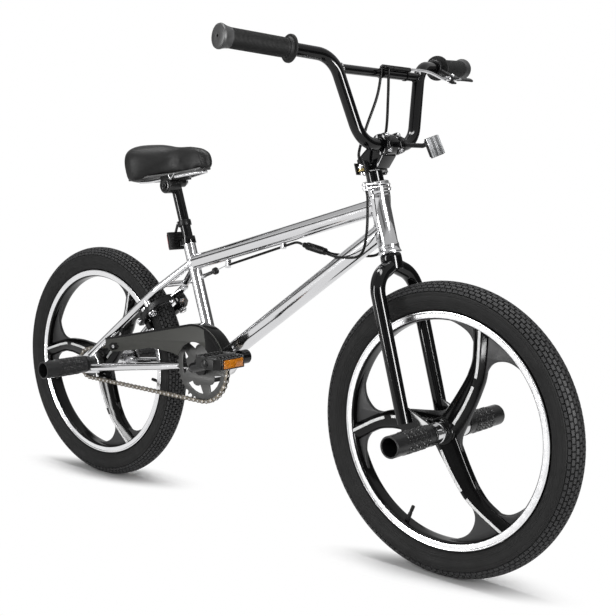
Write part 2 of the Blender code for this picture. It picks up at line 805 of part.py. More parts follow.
def make_handlebar():
    finish = gloss_black()
    right = fillet(bar_corners(-1), BAR_BEND, 4)
    left = fillet(bar_corners(1), BAR_BEND, 4)
    bar = tube("handlebar", right[:0:-1] + left[1:], BAR_RADIUS, finish, 10)
    smooth(join(bar, rod("crossbar", crossbar_end(-1), crossbar_end(1), CROSSBAR_RADIUS, finish, 8)))
    for side, name in ((-1, "grip_right"), (1, "grip_left")):
        end, out = bar_end(side)
        bore = clear_bore(BAR_RADIUS, 12)
        profile = [
            (0.001, GRIP_CAP), (GRIP_END_RADIUS - 0.004, GRIP_CAP), (GRIP_END_RADIUS, 0),
            (GRIP_RADIUS, -0.006), (GRIP_RADIUS, GRIP_FLANGE - GRIP_LENGTH + 0.004),
            (GRIP_FLANGE_RADIUS, GRIP_FLANGE - GRIP_LENGTH), (GRIP_FLANGE_RADIUS, -GRIP_LENGTH),
            (bore, -GRIP_LENGTH), (bore, GAP), (0.001, GAP),
        ]
        turned(name, profile, end, out, rubber(), 12)


def make_stem():
    finish = gloss_black()
    sleeve = rod("stem", steer(SLEEVE_LOW), steer(STEM_LOW + 0.005), SLEEVE_RADIUS, finish)
    top = BAR_HEIGHT
    outline = [
        (-0.0185, STEM_LOW), (0.022, STEM_LOW), (STEM_REACH + 0.002, top - 0.0182),
        (STEM_REACH - 0.006, top + 0.0165), (0.012, top + 0.004), (-0.0185, top - 0.012),
    ]
    matrix = frame_matrix(STEER_FOOT, -Y_AXIS, STEER_FORWARD)
    body = plate("stem_body", [outline], STEM_BODY_WIDTH, matrix, finish)
    centre = bar_point(0, 0, 0)
    half = STEM_WIDTH / 2 * Y_AXIS
    ring = rod("clamp", centre - half, centre + half, CLAMP_RADIUS, finish, 20)
    stem = join(sleeve, body, ring)
    hole = rod("bar_hole", centre - 2 * half, centre + 2 * half, clear_bore(BAR_RADIUS, 16), None)
    tilt = frame_matrix(centre, STEER_UP, STEER_FORWARD)
    front = block("front_half", centre, (0.1, 0.1, 0.1), None, None)
    front.matrix_world = tilt @ Matrix.Translation((0.05 - GAP / 2, 0, 0))
    stem = smooth(cut(stem, hole, front))
    face = rod("stem_face_plate", centre - half, centre + half, CLAMP_RADIUS, finish, 20)
    face_hole = rod("face_hole", centre - 2 * half, centre + 2 * half, clear_bore(BAR_RADIUS, 16), None)
    rear = block("rear_half", centre, (0.1, 0.1, 0.1), None, None)
    rear.matrix_world = tilt @ Matrix.Translation((-0.05 + GAP / 2, 0, 0))
    smooth(cut(face, face_hole, rear))


def make_front_reflector():
    centre = bar_point(0, 0.0325, 0)
    inner = clear_bore(BAR_RADIUS, 14)
    ring = turned(
        "front_reflector_bracket",
        [(inner, -0.0045), (inner, 0.0045), (inner + 0.0035, 0.0045), (inner + 0.0035, -0.0045)],
        centre, Y_AXIS, black_plastic(), 14,
    )
    tilt = Matrix.Rotation(math.radians(-19), 4, "Y") @ Matrix.Rotation(math.radians(13), 4, "X")
    ahead = tilt.to_3x3() @ Vector((1, 0, 0))
    back_size = Vector((0.003, 0.036, 0.030))
    lens_size = Vector((0.006, 0.042, 0.036))
    place = centre + Vector((0.0655, 0.0175, -0.0015))
    behind = place - ((back_size.x + lens_size.x) / 2 + GAP) * ahead
    arm_end = behind + 0.009 * (tilt.to_3x3() @ Vector((0, 0, 1)))
    out = Vector((1, 0, 0))
    route = [centre + 0.013 * out, centre + 0.018 * out, arm_end - 0.018 * ahead, arm_end]
    arm = tube("reflector_arm", route, 0.0042, None, 8)
    back = block("reflector_back", behind, back_size, None, tilt)
    join(ring, arm, back)
    block("front_reflector", place, lens_size, lens("clear_lens", (0.85, 0.85, 0.85)), tilt)


# Brake lever and cables


def lever_frame():
    """The lever's pivot, the bar's direction there and the lever's turning axis."""
    end, out = bar_end(1)
    on_bar = end - (GRIP_LENGTH + 0.014) * out
    away = Vector((0.86, 0, -0.51))
    away = (away - out * away.dot(out)).normalized()
    return on_bar, out, away


def lever_pivot():
    on_bar, out, away = lever_frame()
    return on_bar + 0.040 * away, out.cross(-away)


def make_lever():
    on_bar, out, away = lever_frame()
    inner = clear_bore(BAR_RADIUS, 14)
    clamp = turned(
        "lever_bracket",
        [(inner, -0.006), (inner, 0.006), (inner + 0.004, 0.006), (inner + 0.004, -0.006)],
        on_bar, out, black_plastic(), 14,
    )
    pivot, axis = lever_pivot()
    turn = frame_matrix(on_bar, out, away)
    body = block("lever_body", on_bar, (0.024, 0.014, 0.012), None)
    body.matrix_world = turn @ Matrix.Translation((0.0255, 0, 0))
    cheeks = block("lever_cheeks", on_bar, (0.016, 0.014, 0.024), None)
    cheeks.matrix_world = turn @ Matrix.Translation((0.0405, 0, 0.004))
    barrel = rod("lever_barrel", pivot - 0.030 * out, pivot - 0.004 * out, 0.0042, None, 8)
    slot = block("lever_slot", on_bar, (0.030, 0.0066, 0.034), None)
    slot.matrix_world = turn @ Matrix.Translation((0.0475, 0, 0.0102))
    pin = rod("lever_pin", pivot - 0.0065 * axis, pivot + 0.0065 * axis, 0.0025, None, 10)
    bracket = cut(join(clamp, body, cheeks, barrel), slot)
    join(bracket, pin)
    blade = tube(
        "brake_lever",
        through([
            pivot + 0.000 * out, pivot + 0.020 * out + 0.001 * away, pivot + 0.045 * out - 0.004 * away,
            pivot + 0.075 * out - 0.004 * away, pivot + 0.098 * out + 0.001 * away,
        ], 3),
        0.0048, dark_steel(), 8,
    )
    slim = block("slim", pivot, (2 * GRIP_LENGTH, 0.0056, 2 * GRIP_LENGTH), None)
    slim.matrix_world = frame_matrix(pivot, out, away)
    blade = combine(blade, [slim], "INTERSECT")
    hub = rod("lever_hub", pivot - 0.0028 * axis, pivot + 0.0028 * axis, 0.0055, None, 12)
    hole = rod("pin_hole", pivot - 0.02 * axis, pivot + 0.02 * axis, 0.0025 + RUN, None, 10)
    smooth(cut(join(blade, hub), hole))


def make_upper_cable():
    """The lever's cable, wrapped on the crossbar up to its split, and a branch to each side of the rotor."""
    right_end, left_end = crossbar_end(-1), crossbar_end(1)
    out = (left_end - right_end).normalized()
    lift = (CROSSBAR_RADIUS + WRAP_RADIUS + GAP) * Vector((0.5, 0, math.sqrt(0.75)))
    right, left = (right_end.lerp(left_end, share) + lift for share in WRAP_SHARES)
    wrap = rod("upper_cable", right, left, WRAP_RADIUS, black_plastic(), 8)
    pivot, _ = lever_pivot()
    lever_out = lever_frame()[1]
    barrel_end = pivot - (0.030 + GAP) * lever_out
    past_upright = left_end + Vector((BAR_RADIUS + CABLE_RADIUS + 0.004, 0.006, 0.010))
    lever_run = [
        left - 0.006 * out, left + 0.010 * out + Vector((0.002, 0, 0.001)), past_upright,
        barrel_end - 0.018 * lever_out, barrel_end,
    ]
    branches = [tube("lever_run", through(lever_run, 2), CABLE_RADIUS, None, 6)]
    for side in (-1, 1):
        foot = steer(ROTOR_UPPER + BARREL_HEIGHT + 2 * GAP, 0, side * ROTOR_EAR)
        start = right + (0.004 + 0.002 * side) * out
        over = start + (0.009 * side - 0.006) * out + Vector((0.0068, 0, -0.002))
        front = over - Vector((0, 0, 0.012))
        route = [
            foot, foot + 0.020 * STEER_UP,
            foot.lerp(front, 0.40) + Vector((-0.002, side * 0.006, 0)),
            foot.lerp(front, 0.75) + Vector((-0.001, 0.004, 0)),
            front, over, start,
        ]
        branches.append(tube(f"rotor_run{side}", through(route, 2), CABLE_RADIUS, None, 6))
    smooth(join(wrap, *branches))


def make_lower_cables():
    """The rotor's two lower cables into their split barrel, and the housing on to the rear stop."""
    finish = black_plastic()
    along = (SPLIT_FRONT - SPLIT_REAR).normalized()
    barrel = rod("lower_cable", SPLIT_REAR, SPLIT_FRONT, 0.0075, finish, 12)
    runs = []
    for side in (-1, 1):
        foot = steer(ROTOR_LOWER - GAP, 0, side * ROTOR_EAR)
        enter = SPLIT_FRONT + side * 0.0042 * Y_AXIS
        lowest = steer(HEAD_LOW - 0.002, -0.046, side * 0.0275)
        route = [
            foot, foot - 0.020 * STEER_UP + Vector((-0.002, 0, 0)),
            steer(HEAD_LOW + 0.030, -0.018, side * 0.0335),
            lowest,
            enter.lerp(lowest, 0.55) + Vector((0, side * 0.010, -0.006)),
            enter + 0.016 * along + Vector((0, side * 0.004, -0.001)), enter - 0.004 * along,
        ]
        runs.append(tube(f"lower_run{side}", through(route, 2), CABLE_RADIUS, None, 6))
    smooth(join(barrel, *runs))
    stop_along = (CLIP_PLACE - STOP_PLACE).normalized()
    guide_front, guide_rear = cable_guide()
    guide_along = (guide_front - guide_rear).normalized()
    adjuster_front = guide_front + (GAP + ADJUSTER_LENGTH) * guide_along
    housing = tube(
        "rear_cable",
        through([
            SPLIT_REAR - GAP * along, SPLIT_REAR - 0.018 * along,
            CLIP_PLACE + 0.012 * stop_along, CLIP_PLACE - 0.012 * stop_along,
            CLIP_PLACE.lerp(STOP_PLACE, 0.5),
            STOP_PLACE + 0.012 * stop_along, STOP_PLACE - 0.008 * stop_along,
        ], 3),
        CABLE_RADIUS, finish, 6,
    )
    bare = [STOP_PLACE - reach * stop_along for reach in (0.006, 0.012)]
    bare.append(adjuster_front + GAP * guide_along)
    smooth(join(housing, tube("bare_wire", bare, WIRE_RADIUS, None, 6)))
    profile = [
        (0.0002, 0), (0.0038, 0), (0.0038, ADJUSTER_LENGTH - 0.006), (0.0075, ADJUSTER_LENGTH - 0.006),
        (0.0075, ADJUSTER_LENGTH), (0.0002, ADJUSTER_LENGTH),
    ]
    turned("cable_adjuster", profile[::-1], guide_front + GAP * guide_along, guide_along, finish, 12)
    make_straddle(guide_rear - GAP * guide_along, guide_along)


def make_straddle(wire_end, guide_along):
    """The wire out of the seat tube, its yoke, and the straddle to the brake arms."""
    yoke = brake_point(0.326, 0, STRADDLE_FORWARD)
    body = rod("straddle_cable", yoke - 0.007 * Y_AXIS, yoke + 0.007 * Y_AXIS, 0.0055, dark_steel(), 10)
    wires = [
        tube("pull_wire", [wire_end, wire_end - 0.006 * guide_along, yoke], WIRE_RADIUS, None, 6),
        *[
            tube(f"straddle{side}", [
                yoke + side * 0.003 * Y_AXIS,
                brake_point(ARM_TIP_REACH + 0.0065 + GAP, side * ARM_TIP_HALF, STRADDLE_FORWARD),
            ], WIRE_RADIUS, None, 6)
            for side in (-1, 1)
        ],
    ]
    smooth(join(body, *wires))


def make_brake_arms():
    for side, name in ((-1, "right"), (1, "left")):
        face = RIM_WIDTH / 2 + PAD_GAP + PAD_DEPTH + GAP
        track = RIM_RADIUS - 0.006
        outline = [
            (face, track - 0.008), (face + 0.012, track - 0.008), (face + 0.014, track + 0.012),
            (BRAKE_PIVOT_HALF + 0.0105, BRAKE_PIVOT_REACH - 0.006),
            (BRAKE_PIVOT_HALF + 0.0095, BRAKE_PIVOT_REACH + 0.009),
            (BRAKE_PIVOT_HALF - 0.002, BRAKE_PIVOT_REACH + 0.030),
            (ARM_TIP_HALF + 0.008, ARM_TIP_REACH + 0.006), (ARM_TIP_HALF - 0.004, ARM_TIP_REACH + 0.006),
            (ARM_TIP_HALF - 0.004, ARM_TIP_REACH - 0.007),
            (BRAKE_PIVOT_HALF - 0.015, BRAKE_PIVOT_REACH + 0.017),
            (BRAKE_PIVOT_HALF - 0.0105, BRAKE_PIVOT_REACH), (face + 0.001, track + 0.012),
        ]
        middle = REAR_AXLE + (BRAKE_OFFSET + GAP + BRAKE_ARM / 2) * BRAKE_FORWARD
        matrix = frame_matrix(middle, BRAKE_FORWARD, Y_AXIS)
        flip = 1 if (matrix.to_3x3() @ Vector((0, 1, 0))).dot(BRAKE_OUT) > 0 else -1
        shape = [(side * y, flip * r) for y, r in outline]
        arm = plate(f"brake_arm_{name}", [shape], BRAKE_ARM, matrix, black_plastic())
        near, far = (brake_point(BRAKE_PIVOT_REACH, side * BRAKE_PIVOT_HALF, reach) for reach in (0, 0.05))
        cut(arm, rod("pivot_hole", near, far, BRAKE_STUD_RADIUS + RUN, None, 8))
        centre = brake_point(track, side * (RIM_WIDTH / 2 + PAD_GAP + PAD_DEPTH / 2), STRADDLE_FORWARD)
        pad = block(f"brake_pad_{name}", centre, (PAD_LENGTH, PAD_DEPTH, PAD_HEIGHT), rubber())
        pad.matrix_world = frame_matrix(centre, BRAKE_OUT, BRAKE_FORWARD)


# Seat


def make_seat_post():
    low = SEAT_TOP - POST_INSERT * SEAT_UP
    rod("seat_post", low, POST_TOP, POST_RADIUS, gloss_black(), 12)
    inner = SEAT_TUBE_RADIUS + GAP
    ring = [
        (inner, -CLAMP_RING_DEPTH), (inner, GAP), (POST_RADIUS + RUN, GAP),
        (POST_RADIUS + RUN, CLAMP_RING_RISE),
        (CLAMP_RING_RADIUS, CLAMP_RING_RISE), (CLAMP_RING_RADIUS, -CLAMP_RING_DEPTH),
    ]
    clamp = turned("seat_clamp", ring, SEAT_TOP, SEAT_UP, gloss_black(), 16)
    turn = frame_matrix(SEAT_TOP, SEAT_UP, Vector((1, 0, 0)))
    lug = block("lug", SEAT_TOP, (0.009, 0.016, 0.012), None)
    lug.matrix_world = turn @ Matrix.Translation((-CLAMP_RING_RADIUS - 0.0035, 0, 0))
    slit = block("slit", SEAT_TOP, (0.030, 0.0022, 0.040), None)
    slit.matrix_world = turn @ Matrix.Translation((-SEAT_TUBE_RADIUS - 0.015, 0, 0))
    smooth(cut(join(clamp, lug), slit))
    make_rear_reflector()


def make_rear_reflector():
    collar = SEAT_TOP + 0.0375 * SEAT_UP
    inner = clear_bore(POST_RADIUS, 14)
    ring = turned(
        "rear_reflector_bracket",
        [(inner, -0.0055), (inner, 0.0055), (inner + 0.0025, 0.0055), (inner + 0.0025, -0.0055)],
        collar, SEAT_UP, black_plastic(), 14,
    )
    tilt = Matrix.Rotation(math.radians(-13), 4, "Y")
    ahead = tilt.to_3x3() @ Vector((1, 0, 0))
    above = tilt.to_3x3() @ Vector((0, 0, 1))
    housing_size = Vector((0.006, 0.044, 0.037))
    lens_size = Vector((0.005, 0.038, 0.031))
    place = SEAT_TOP + Vector((-0.0365, 0, -0.0027))
    route = [
        collar - Vector((0.0128, 0, 0)), collar - Vector((0.0215, 0, 0.004)), place + 0.0165 * above,
    ]
    arm = tube("rear_arm", route, 0.0028, None, 8)
    housing = block("rear_housing", place, housing_size, None, tilt)
    join(ring, arm, housing)
    behind = place - ((housing_size.x + lens_size.x) / 2 + GAP) * ahead
    block("rear_reflector", behind, lens_size, lens("red_lens", (0.6, 0.02, 0.02)), tilt)


def saddle_matrix():
    """The saddle's own frame: X forward from its rear end, Z square to its sloping underside."""
    rise = POST_TOP + Vector((0, 0, SADDLE_CLAMP_RISE + RAIL_DROP + SADDLE_BASE))
    tilt = Matrix.Rotation(-SADDLE_TILT, 4, "Y")
    return Matrix.Translation(rise) @ tilt @ Matrix.Translation((-SADDLE_SETBACK, 0, 0))


def saddle_half_width(share):
    """Half the saddle's width, from its round rear end to its nose."""
    wide = SADDLE_WIDTH / 2
    nose = SADDLE_NOSE_WIDTH / 2
    rear_round = math.sqrt(max(0.0, 1 - max(0.0, 1 - share / 0.17) ** 2.4))
    waist = 0.5 + 0.5 * math.cos(math.pi * min(1.0, max(0.0, (share - 0.22) / 0.40)))
    nose_round = math.sqrt(max(0.0, 1 - max(0.0, (share - 0.90) / 0.10) ** 2))
    return (nose + (wide - nose) * waist) * (0.55 + 0.45 * rear_round) * (0.45 + 0.55 * nose_round)


def saddle_base_outline(margin):
    """The base plate's outline, or its pocket's with a margin round it."""
    shares = [0.10 + 0.80 * step / 10 for step in range(11)]
    half = [
        (share * SADDLE_LENGTH, SADDLE_BASE_SHARE * saddle_half_width(share) + margin) for share in shares
    ]
    half[0] = (half[0][0] - margin, half[0][1])
    half[-1] = (half[-1][0] + margin, half[-1][1])
    return half + [(x, -y) for x, y in reversed(half)]


def make_saddle():
    """The cushion, swelling down past its base, cut flat below and pocketed for the base."""
    mesh = bpy.data.meshes.new("saddle_cushion")
    work = bmesh.new()
    bmesh.ops.create_cube(work, size=2)
    for axis, cuts in ((0, 6), (1, 3), (2, 1)):
        edges = [e for e in work.edges if abs((e.verts[0].co - e.verts[1].co).normalized()[axis]) > 0.9]
        bmesh.ops.subdivide_edges(work, edges=edges, cuts=cuts, use_grid_fill=True)
    low = -SADDLE_BASE - SADDLE_SKIRT
    for vert in work.verts:
        along, across, up = vert.co
        share = (along + 1) / 2
        height = SADDLE_HEIGHT + (SADDLE_NOSE_HEIGHT - SADDLE_HEIGHT) * share
        bulge = 1 - 0.06 * max(0.0, up) ** 2 - 0.20 * max(0.0, -up)
        crown = 1 - 0.22 * across**2 - 0.05 * max(0.0, 0.15 - share) / 0.15
        vert.co = Vector((
            share * SADDLE_LENGTH,
            across * bulge * saddle_half_width(share),
            low + (height * crown - low) * (up + 1) / 2,
        ))
    work.to_mesh(mesh)
    work.free()
    cushion = add_object("saddle_cushion", mesh, material("vinyl", (0.015, 0.015, 0.015), 0.5))
    swell = cushion.modifiers.new("swell", "SUBSURF")
    swell.levels = 1
    swell.render_levels = 1
    cushion.matrix_world = saddle_matrix()
    cushion = as_mesh(cushion)
    trim = block("trim", Vector(), (2 * SADDLE_LENGTH, 2 * SADDLE_WIDTH, 0.1), None)
    trim.matrix_world = saddle_matrix() @ Matrix.Translation((SADDLE_LENGTH / 2, 0, -SADDLE_BASE - 0.05))
    pocket_matrix = saddle_matrix() @ Matrix.Translation((0, 0, GAP - SADDLE_BASE))
    pocket = plate("pocket", [saddle_base_outline(2 * GAP)], 2 * SADDLE_BASE, pocket_matrix, None)
    smooth(cut(cushion, trim, pocket), 80)
    base_matrix = saddle_matrix() @ Matrix.Translation((0, 0, -SADDLE_BASE / 2))
    shell = material("grey_plastic", (0.18, 0.18, 0.18), 0.5)
    plate("saddle_base", [saddle_base_outline(0)], SADDLE_BASE, base_matrix, shell)
    make_saddle_rails()


def make_saddle_rails():
    matrix = saddle_matrix()
    under = -SADDLE_BASE - GAP - RAIL_RADIUS
    drop = under - RAIL_DROP + RAIL_RADIUS + 0.004

    def place(share, y, z):
        return matrix @ Vector((share * SADDLE_LENGTH, y, z))

    turns = [
        (0.16, 0.034, under), (0.25, RAIL_HALF, drop), (0.595, RAIL_HALF, drop), (0.825, 0.010, under),
        (0.885, 0.008, under),
    ]
    right = [place(share, -y, z) for share, y, z in turns]
    left = [place(*turn) for turn in reversed(turns)]
    tube("saddle_rails", fillet(right + left, 0.006, 2), RAIL_RADIUS, dark_steel(), 6)
    along = (place(1, 0, 0) - place(0, 0, 0)).normalized()
    centre = POST_TOP - 0.006 * SEAT_UP
    near = centre - (SADDLE_CLAMP_WIDTH / 2 + 0.002) * Y_AXIS
    clamp = rod("saddle_clamp", near, centre, SADDLE_CLAMP_RADIUS, black_plastic(), 16)
    far = centre + 0.007 * SEAT_UP
    far_disc = rod("far_disc", far - 0.004 * Y_AXIS, far + 0.024 * Y_AXIS, 0.0105, None, 16)
    rail_mid = matrix @ Vector((SADDLE_SETBACK, 0, drop))
    jaw = block("jaw", rail_mid, (0.034, SADDLE_CLAMP_WIDTH, 0.010), None)
    jaw.matrix_world = frame_matrix(rail_mid, matrix.to_3x3() @ Vector((0, 0, 1)), along)
    clamp = join(clamp, jaw, far_disc)
    bores = [
        rod("post_hole", centre - 0.05 * SEAT_UP, POST_TOP + GAP * SEAT_UP, POST_RADIUS + GAP, None),
        *[
            rod(f"rail_bore{side}", rail_mid - 0.05 * along + side * RAIL_HALF * Y_AXIS,
                rail_mid + 0.05 * along + side * RAIL_HALF * Y_AXIS, RAIL_RADIUS + GAP, None, 8)
            for side in (-1, 1)
        ],
    ]
    smooth(cut(clamp, *bores))


# Wheels


def opening_outline(turn):
    """One of the wheel's three swept openings, as a smooth loop through a few of its points."""
    inner = RIM_RADIUS - RIM_DEPTH - 0.0005
    corners = [
        (0.033, -0.011), (0.039, -0.037), (0.062, -0.078),
        (0.087, -0.1095), (0.112, -0.1237), (0.139, -0.1196),
        *arc((0, 0), inner, math.radians(-28), math.radians(34), 4),
        (0.126, 0.133), (0.094, 0.131), (0.077, 0.111), (0.066, 0.069), (0.045, 0.0195),
    ]
    cos, sin = math.cos(turn), math.sin(turn)
    return [(cos * x - sin * y, sin * x + cos * y) for x, y in loop_curve(corners, 1)]


def spoke_rib(turn):
    """The raised rib along a spoke, swept from the hub to the rim."""
    route = []
    for radius, angle in ((0.020, 20), (0.045, 38), (0.085, 51), (0.125, 60), (0.165, 66), (0.1965, 69)):
        around = math.radians(angle) + turn
        route.append(Vector((radius * math.cos(around), 0, radius * math.sin(around))))
    return route


def make_wheel(name, axle, turn):
    finish = gloss_black()
    outer, wide, narrow = RIM_RADIUS, RIM_WIDTH / 2, RIM_INNER_WIDTH / 2
    inner = RIM_RADIUS - RIM_DEPTH
    profile = [
        (inner, -narrow), (inner + 0.006, -wide), (outer, -wide), (outer, wide), (inner + 0.006, wide),
        (inner, narrow),
    ]
    rim = turned(f"{name}_wheel", profile, axle, Y_AXIS, finish, WHEEL_STEPS)
    third = math.tau / SPOKE_COUNT
    openings = [opening_outline(turn + third * number) for number in range(SPOKE_COUNT)]
    outlines = [circle(inner + 0.004, WHEEL_STEPS), *openings]
    web = plate("web", outlines, SPOKE_PLATE, side_plane(axle), finish)
    half = HUB_WIDTH / 2 * Y_AXIS
    hub = rod("hub", axle - half, axle + half, HUB_RADIUS, finish, 20)
    ribs = []
    for number in range(SPOKE_COUNT):
        route = [axle + point for point in spoke_rib(turn + third * number)]
        ribs.append(tube(f"rib{number}", route, SPOKE_RIB_RADIUS, finish, 6))
    wheel = join(rim, web, hub, *ribs)
    bore = rod("bore", axle - 3 * half, axle + 3 * half, AXLE_RADIUS + RUN, None)
    smooth(cut(wheel, bore))
    make_tyre(name, axle)


def make_tyre(name, axle):
    """A tyre whose section is a circle cut off where it seats on the rim."""
    section = TYRE_WIDTH / 2
    middle = TYRE_RADIUS - section
    seat = RIM_RADIUS + GAP
    edge = math.acos((seat - middle) / section)
    profile = [
        (middle + section * math.cos(a), section * math.sin(a))
        for a in (edge * (1 - 2 * step / 8) for step in range(9))
    ]
    turned(f"{name}_tyre", profile, axle, Y_AXIS, rubber(), WHEEL_STEPS)


def make_collar(name, axle, side, spacing):
    """The bright collar between the hub and a dropout."""
    inner = AXLE_RADIUS + RUN
    start = HUB_WIDTH / 2 + GAP
    end = spacing / 2 - GAP
    waist = (start + end) / 2
    profile = [
        (inner, start), (inner, end), (COLLAR_RADIUS, end), (COLLAR_RADIUS, waist),
        (COLLAR_RADIUS - COLLAR_GROOVE, waist - 0.003), (COLLAR_RADIUS, start),
    ]
    turned(name, profile, axle, side * Y_AXIS, chrome(), 14)


def make_axle(name, axle, spacing, spaced=False):
    """An axle with the nut that holds each peg against its dropout, and a spacer beside a freewheel."""
    wall = spacing / 2 + DROPOUT_PLATE + GAP + PEG_WALL
    tip = wall + GAP + NUT_HEIGHT + 0.006
    body = rod(f"{name}_axle", axle - tip * Y_AXIS, axle + tip * Y_AXIS, AXLE_RADIUS, chrome(), 12)
    extras = []
    for side in (-1, 1):
        near, far = (axle + side * reach * Y_AXIS for reach in (wall + GAP, wall + GAP + NUT_HEIGHT))
        extras.append(rod(f"nut{side}", near, far, NUT_RADIUS, None, 6))
    if spaced:
        near, far = (axle - reach * Y_AXIS for reach in (FREEWHEEL_OUTER + GAP, spacing / 2 - GAP))
        extras.append(rod("spacer", near, far, 0.0105, None, 12))
    join(body, *extras)
    for side, word in ((-1, "right"), (1, "left")):
        start = spacing / 2 + DROPOUT_PLATE + GAP
        hole = AXLE_RADIUS + GAP
        profile = [
            (hole, 0), (hole, PEG_WALL), (PEG_BORE_RADIUS, PEG_WALL), (PEG_BORE_RADIUS, PEG_LENGTH),
            (PEG_RADIUS, PEG_LENGTH), (PEG_RADIUS, 0),
        ]
        foot = axle + side * start * Y_AXIS
        turned(f"{name}_peg_{word}", profile, foot, side * Y_AXIS, gloss_black(), 14)


# Drive


def make_chain():
    """Two rows of side plates, turning a little at each pin, tied by the rollers between the teeth."""
    def edge(reach):
        points = []
        for link in range(CHAIN_LINKS):
            ahead = chain_place(link + 0.25) - chain_place(link - 0.25)
            square = Vector((-ahead.y, ahead.x)).normalized()
            points.append(tuple(chain_place(link) + square * reach))
        return points

    outlines = [edge(CHAIN_HEIGHT), edge(-CHAIN_HEIGHT)]
    sides = []
    for number, side in enumerate((-1, 1)):
        middle = -CHAIN_LINE + side * (CHAIN_INNER_HALF + CHAIN_PLATES / 2)
        name = "far_plates" if number else "chain"
        matrix = side_plane(Vector((0, middle, 0)))
        sides.append(plate(name, outlines, CHAIN_PLATES, matrix, dark_steel()))
    mesh = bpy.data.meshes.new("rollers")
    work = bmesh.new()
    width = 2 * CHAIN_INNER_HALF + CHAIN_PLATES
    for link in range(CHAIN_LINKS):
        place = chain_place(link)
        ahead = chain_place(link + 0.25) - chain_place(link - 0.25)
        turn = Matrix.Rotation(-math.atan2(ahead.y, ahead.x), 4, "Y")
        size = Matrix.Diagonal((2 * ROLLER_HALF, width, 2 * ROLLER_HALF, 1))
        bmesh.ops.create_cube(
            work, size=1, matrix=Matrix.Translation((place.x, -CHAIN_LINE, place.y)) @ turn @ size
        )
    work.to_mesh(mesh)
    work.free()
    rollers = add_object("rollers", mesh, dark_steel())
    join(sides[0], rollers, sides[1])


def crescent(angle):
    """One swept cut-out of the chainring."""
    outer = arc((0.0, 0.0), 0.057, math.radians(-26), math.radians(24), 4)
    inner = arc((0.0310, -0.004), 0.0145, math.radians(62), math.radians(-48), 4)
    cos, sin = math.cos(angle), math.sin(angle)
    return [(cos * x - sin * y, sin * x + cos * y) for x, y in outer + inner]


def make_chainring():
    outlines = [
        toothed_outline(CHAINRING_TEETH, pin_angle(BB, 0)),
        circle(SPINDLE_RADIUS + GAP, 16),
        *[crescent(math.radians(35 + 72 * number)) for number in range(5)],
    ]
    place = BB - CHAIN_LINE * Y_AXIS
    plate("chainring", outlines, TOOTH_PLATE, side_plane(place), dark_steel())


def make_freewheel():
    front, run, rear = chain_sections(CHAIN_STAY)
    first = math.ceil(front + run)
    start = HUB_WIDTH / 2 + GAP
    inner = AXLE_RADIUS + RUN
    profile = [
        (inner, start), (inner, FREEWHEEL_OUTER), (FREEWHEEL_RADIUS - 0.003, FREEWHEEL_OUTER),
        (FREEWHEEL_RADIUS, FREEWHEEL_OUTER - 0.003), (FREEWHEEL_RADIUS, start),
    ]
    body = turned("freewheel_sprocket", profile, REAR_AXLE, -Y_AXIS, dark_steel(), 12)
    teeth = toothed_outline(SPROCKET_TEETH, pin_angle(REAR_AXLE, first))
    outlines = [teeth, circle(FREEWHEEL_RADIUS - 0.004, 12)]
    place = REAR_AXLE - CHAIN_LINE * Y_AXIS
    cog = plate("cog", outlines, TOOTH_PLATE, side_plane(place), dark_steel())
    smooth(join(body, cog))


def crank_ahead():
    return Vector((math.cos(CRANK_ANGLE), 0, math.sin(CRANK_ANGLE)))


def pedal_axle(side):
    """Where a pedal's axis meets the bike's middle plane."""
    return BB - side * CRANK_LENGTH * crank_ahead()


def make_crank():
    finish = gloss_black()
    ahead = crank_ahead()
    corners = [
        BB - CRANK_LENGTH * ahead + (CRANK_OFFSET + CRANK_FLARE) * Y_AXIS,
        BB + CRANK_OFFSET * Y_AXIS,
        BB - CRANK_OFFSET * Y_AXIS,
        BB + CRANK_LENGTH * ahead - (CRANK_OFFSET + CRANK_FLARE) * Y_AXIS,
    ]
    crank = tube("crank", fillet(corners, 0.016, 3), CRANK_RADIUS, finish, 10)
    seat = CHAIN_LINE + TOOTH_PLATE / 2 + GAP
    far = BB_SHELL_WIDTH / 2 + BB_FLANGE + 0.006
    pieces = [
        rod("spindle", BB - seat * Y_AXIS, BB + far * Y_AXIS, SPINDLE_RADIUS, finish),
        rod("shoulder", BB - seat * Y_AXIS, BB - (seat + 0.007) * Y_AXIS, 0.0180, finish),
    ]
    for side in (-1, 1):
        axle = pedal_axle(side)
        eye = axle + side * (CRANK_OFFSET + CRANK_FLARE) * Y_AXIS
        half = 0.010 * Y_AXIS
        pin_end = axle + side * (PEDAL_START + PEDAL_WIDTH - 0.006) * Y_AXIS
        flat_end = axle + side * (PEDAL_START - GAP) * Y_AXIS
        pieces += [
            rod(f"eye{side}", eye - half, eye + half, CRANK_EYE_RADIUS, finish, 12),
            rod(f"pin{side}", eye, pin_end, PEDAL_PIN_RADIUS, finish, 8),
            rod(f"flat{side}", eye, flat_end, 0.0085, finish, 8),
        ]
    smooth(join(crank, *pieces))
    for side, word in ((-1, "right"), (1, "left")):
        make_pedal(word, pedal_axle(side), side)
        bore = SPINDLE_RADIUS + RUN
        inside = BB_SHELL_WIDTH / 2 - BB_CUP_DEPTH
        face = BB_SHELL_WIDTH / 2 + GAP
        profile = [
            (bore, inside), (bore, face + BB_FLANGE), (BB_CUP_RADIUS, face + BB_FLANGE),
            (BB_SHELL_RADIUS - GAP, face), (BB_CUP_RADIUS, face), (BB_CUP_RADIUS, inside),
        ]
        turned(f"bb_cup_{word}", profile, BB, side * Y_AXIS, chrome(), 16)


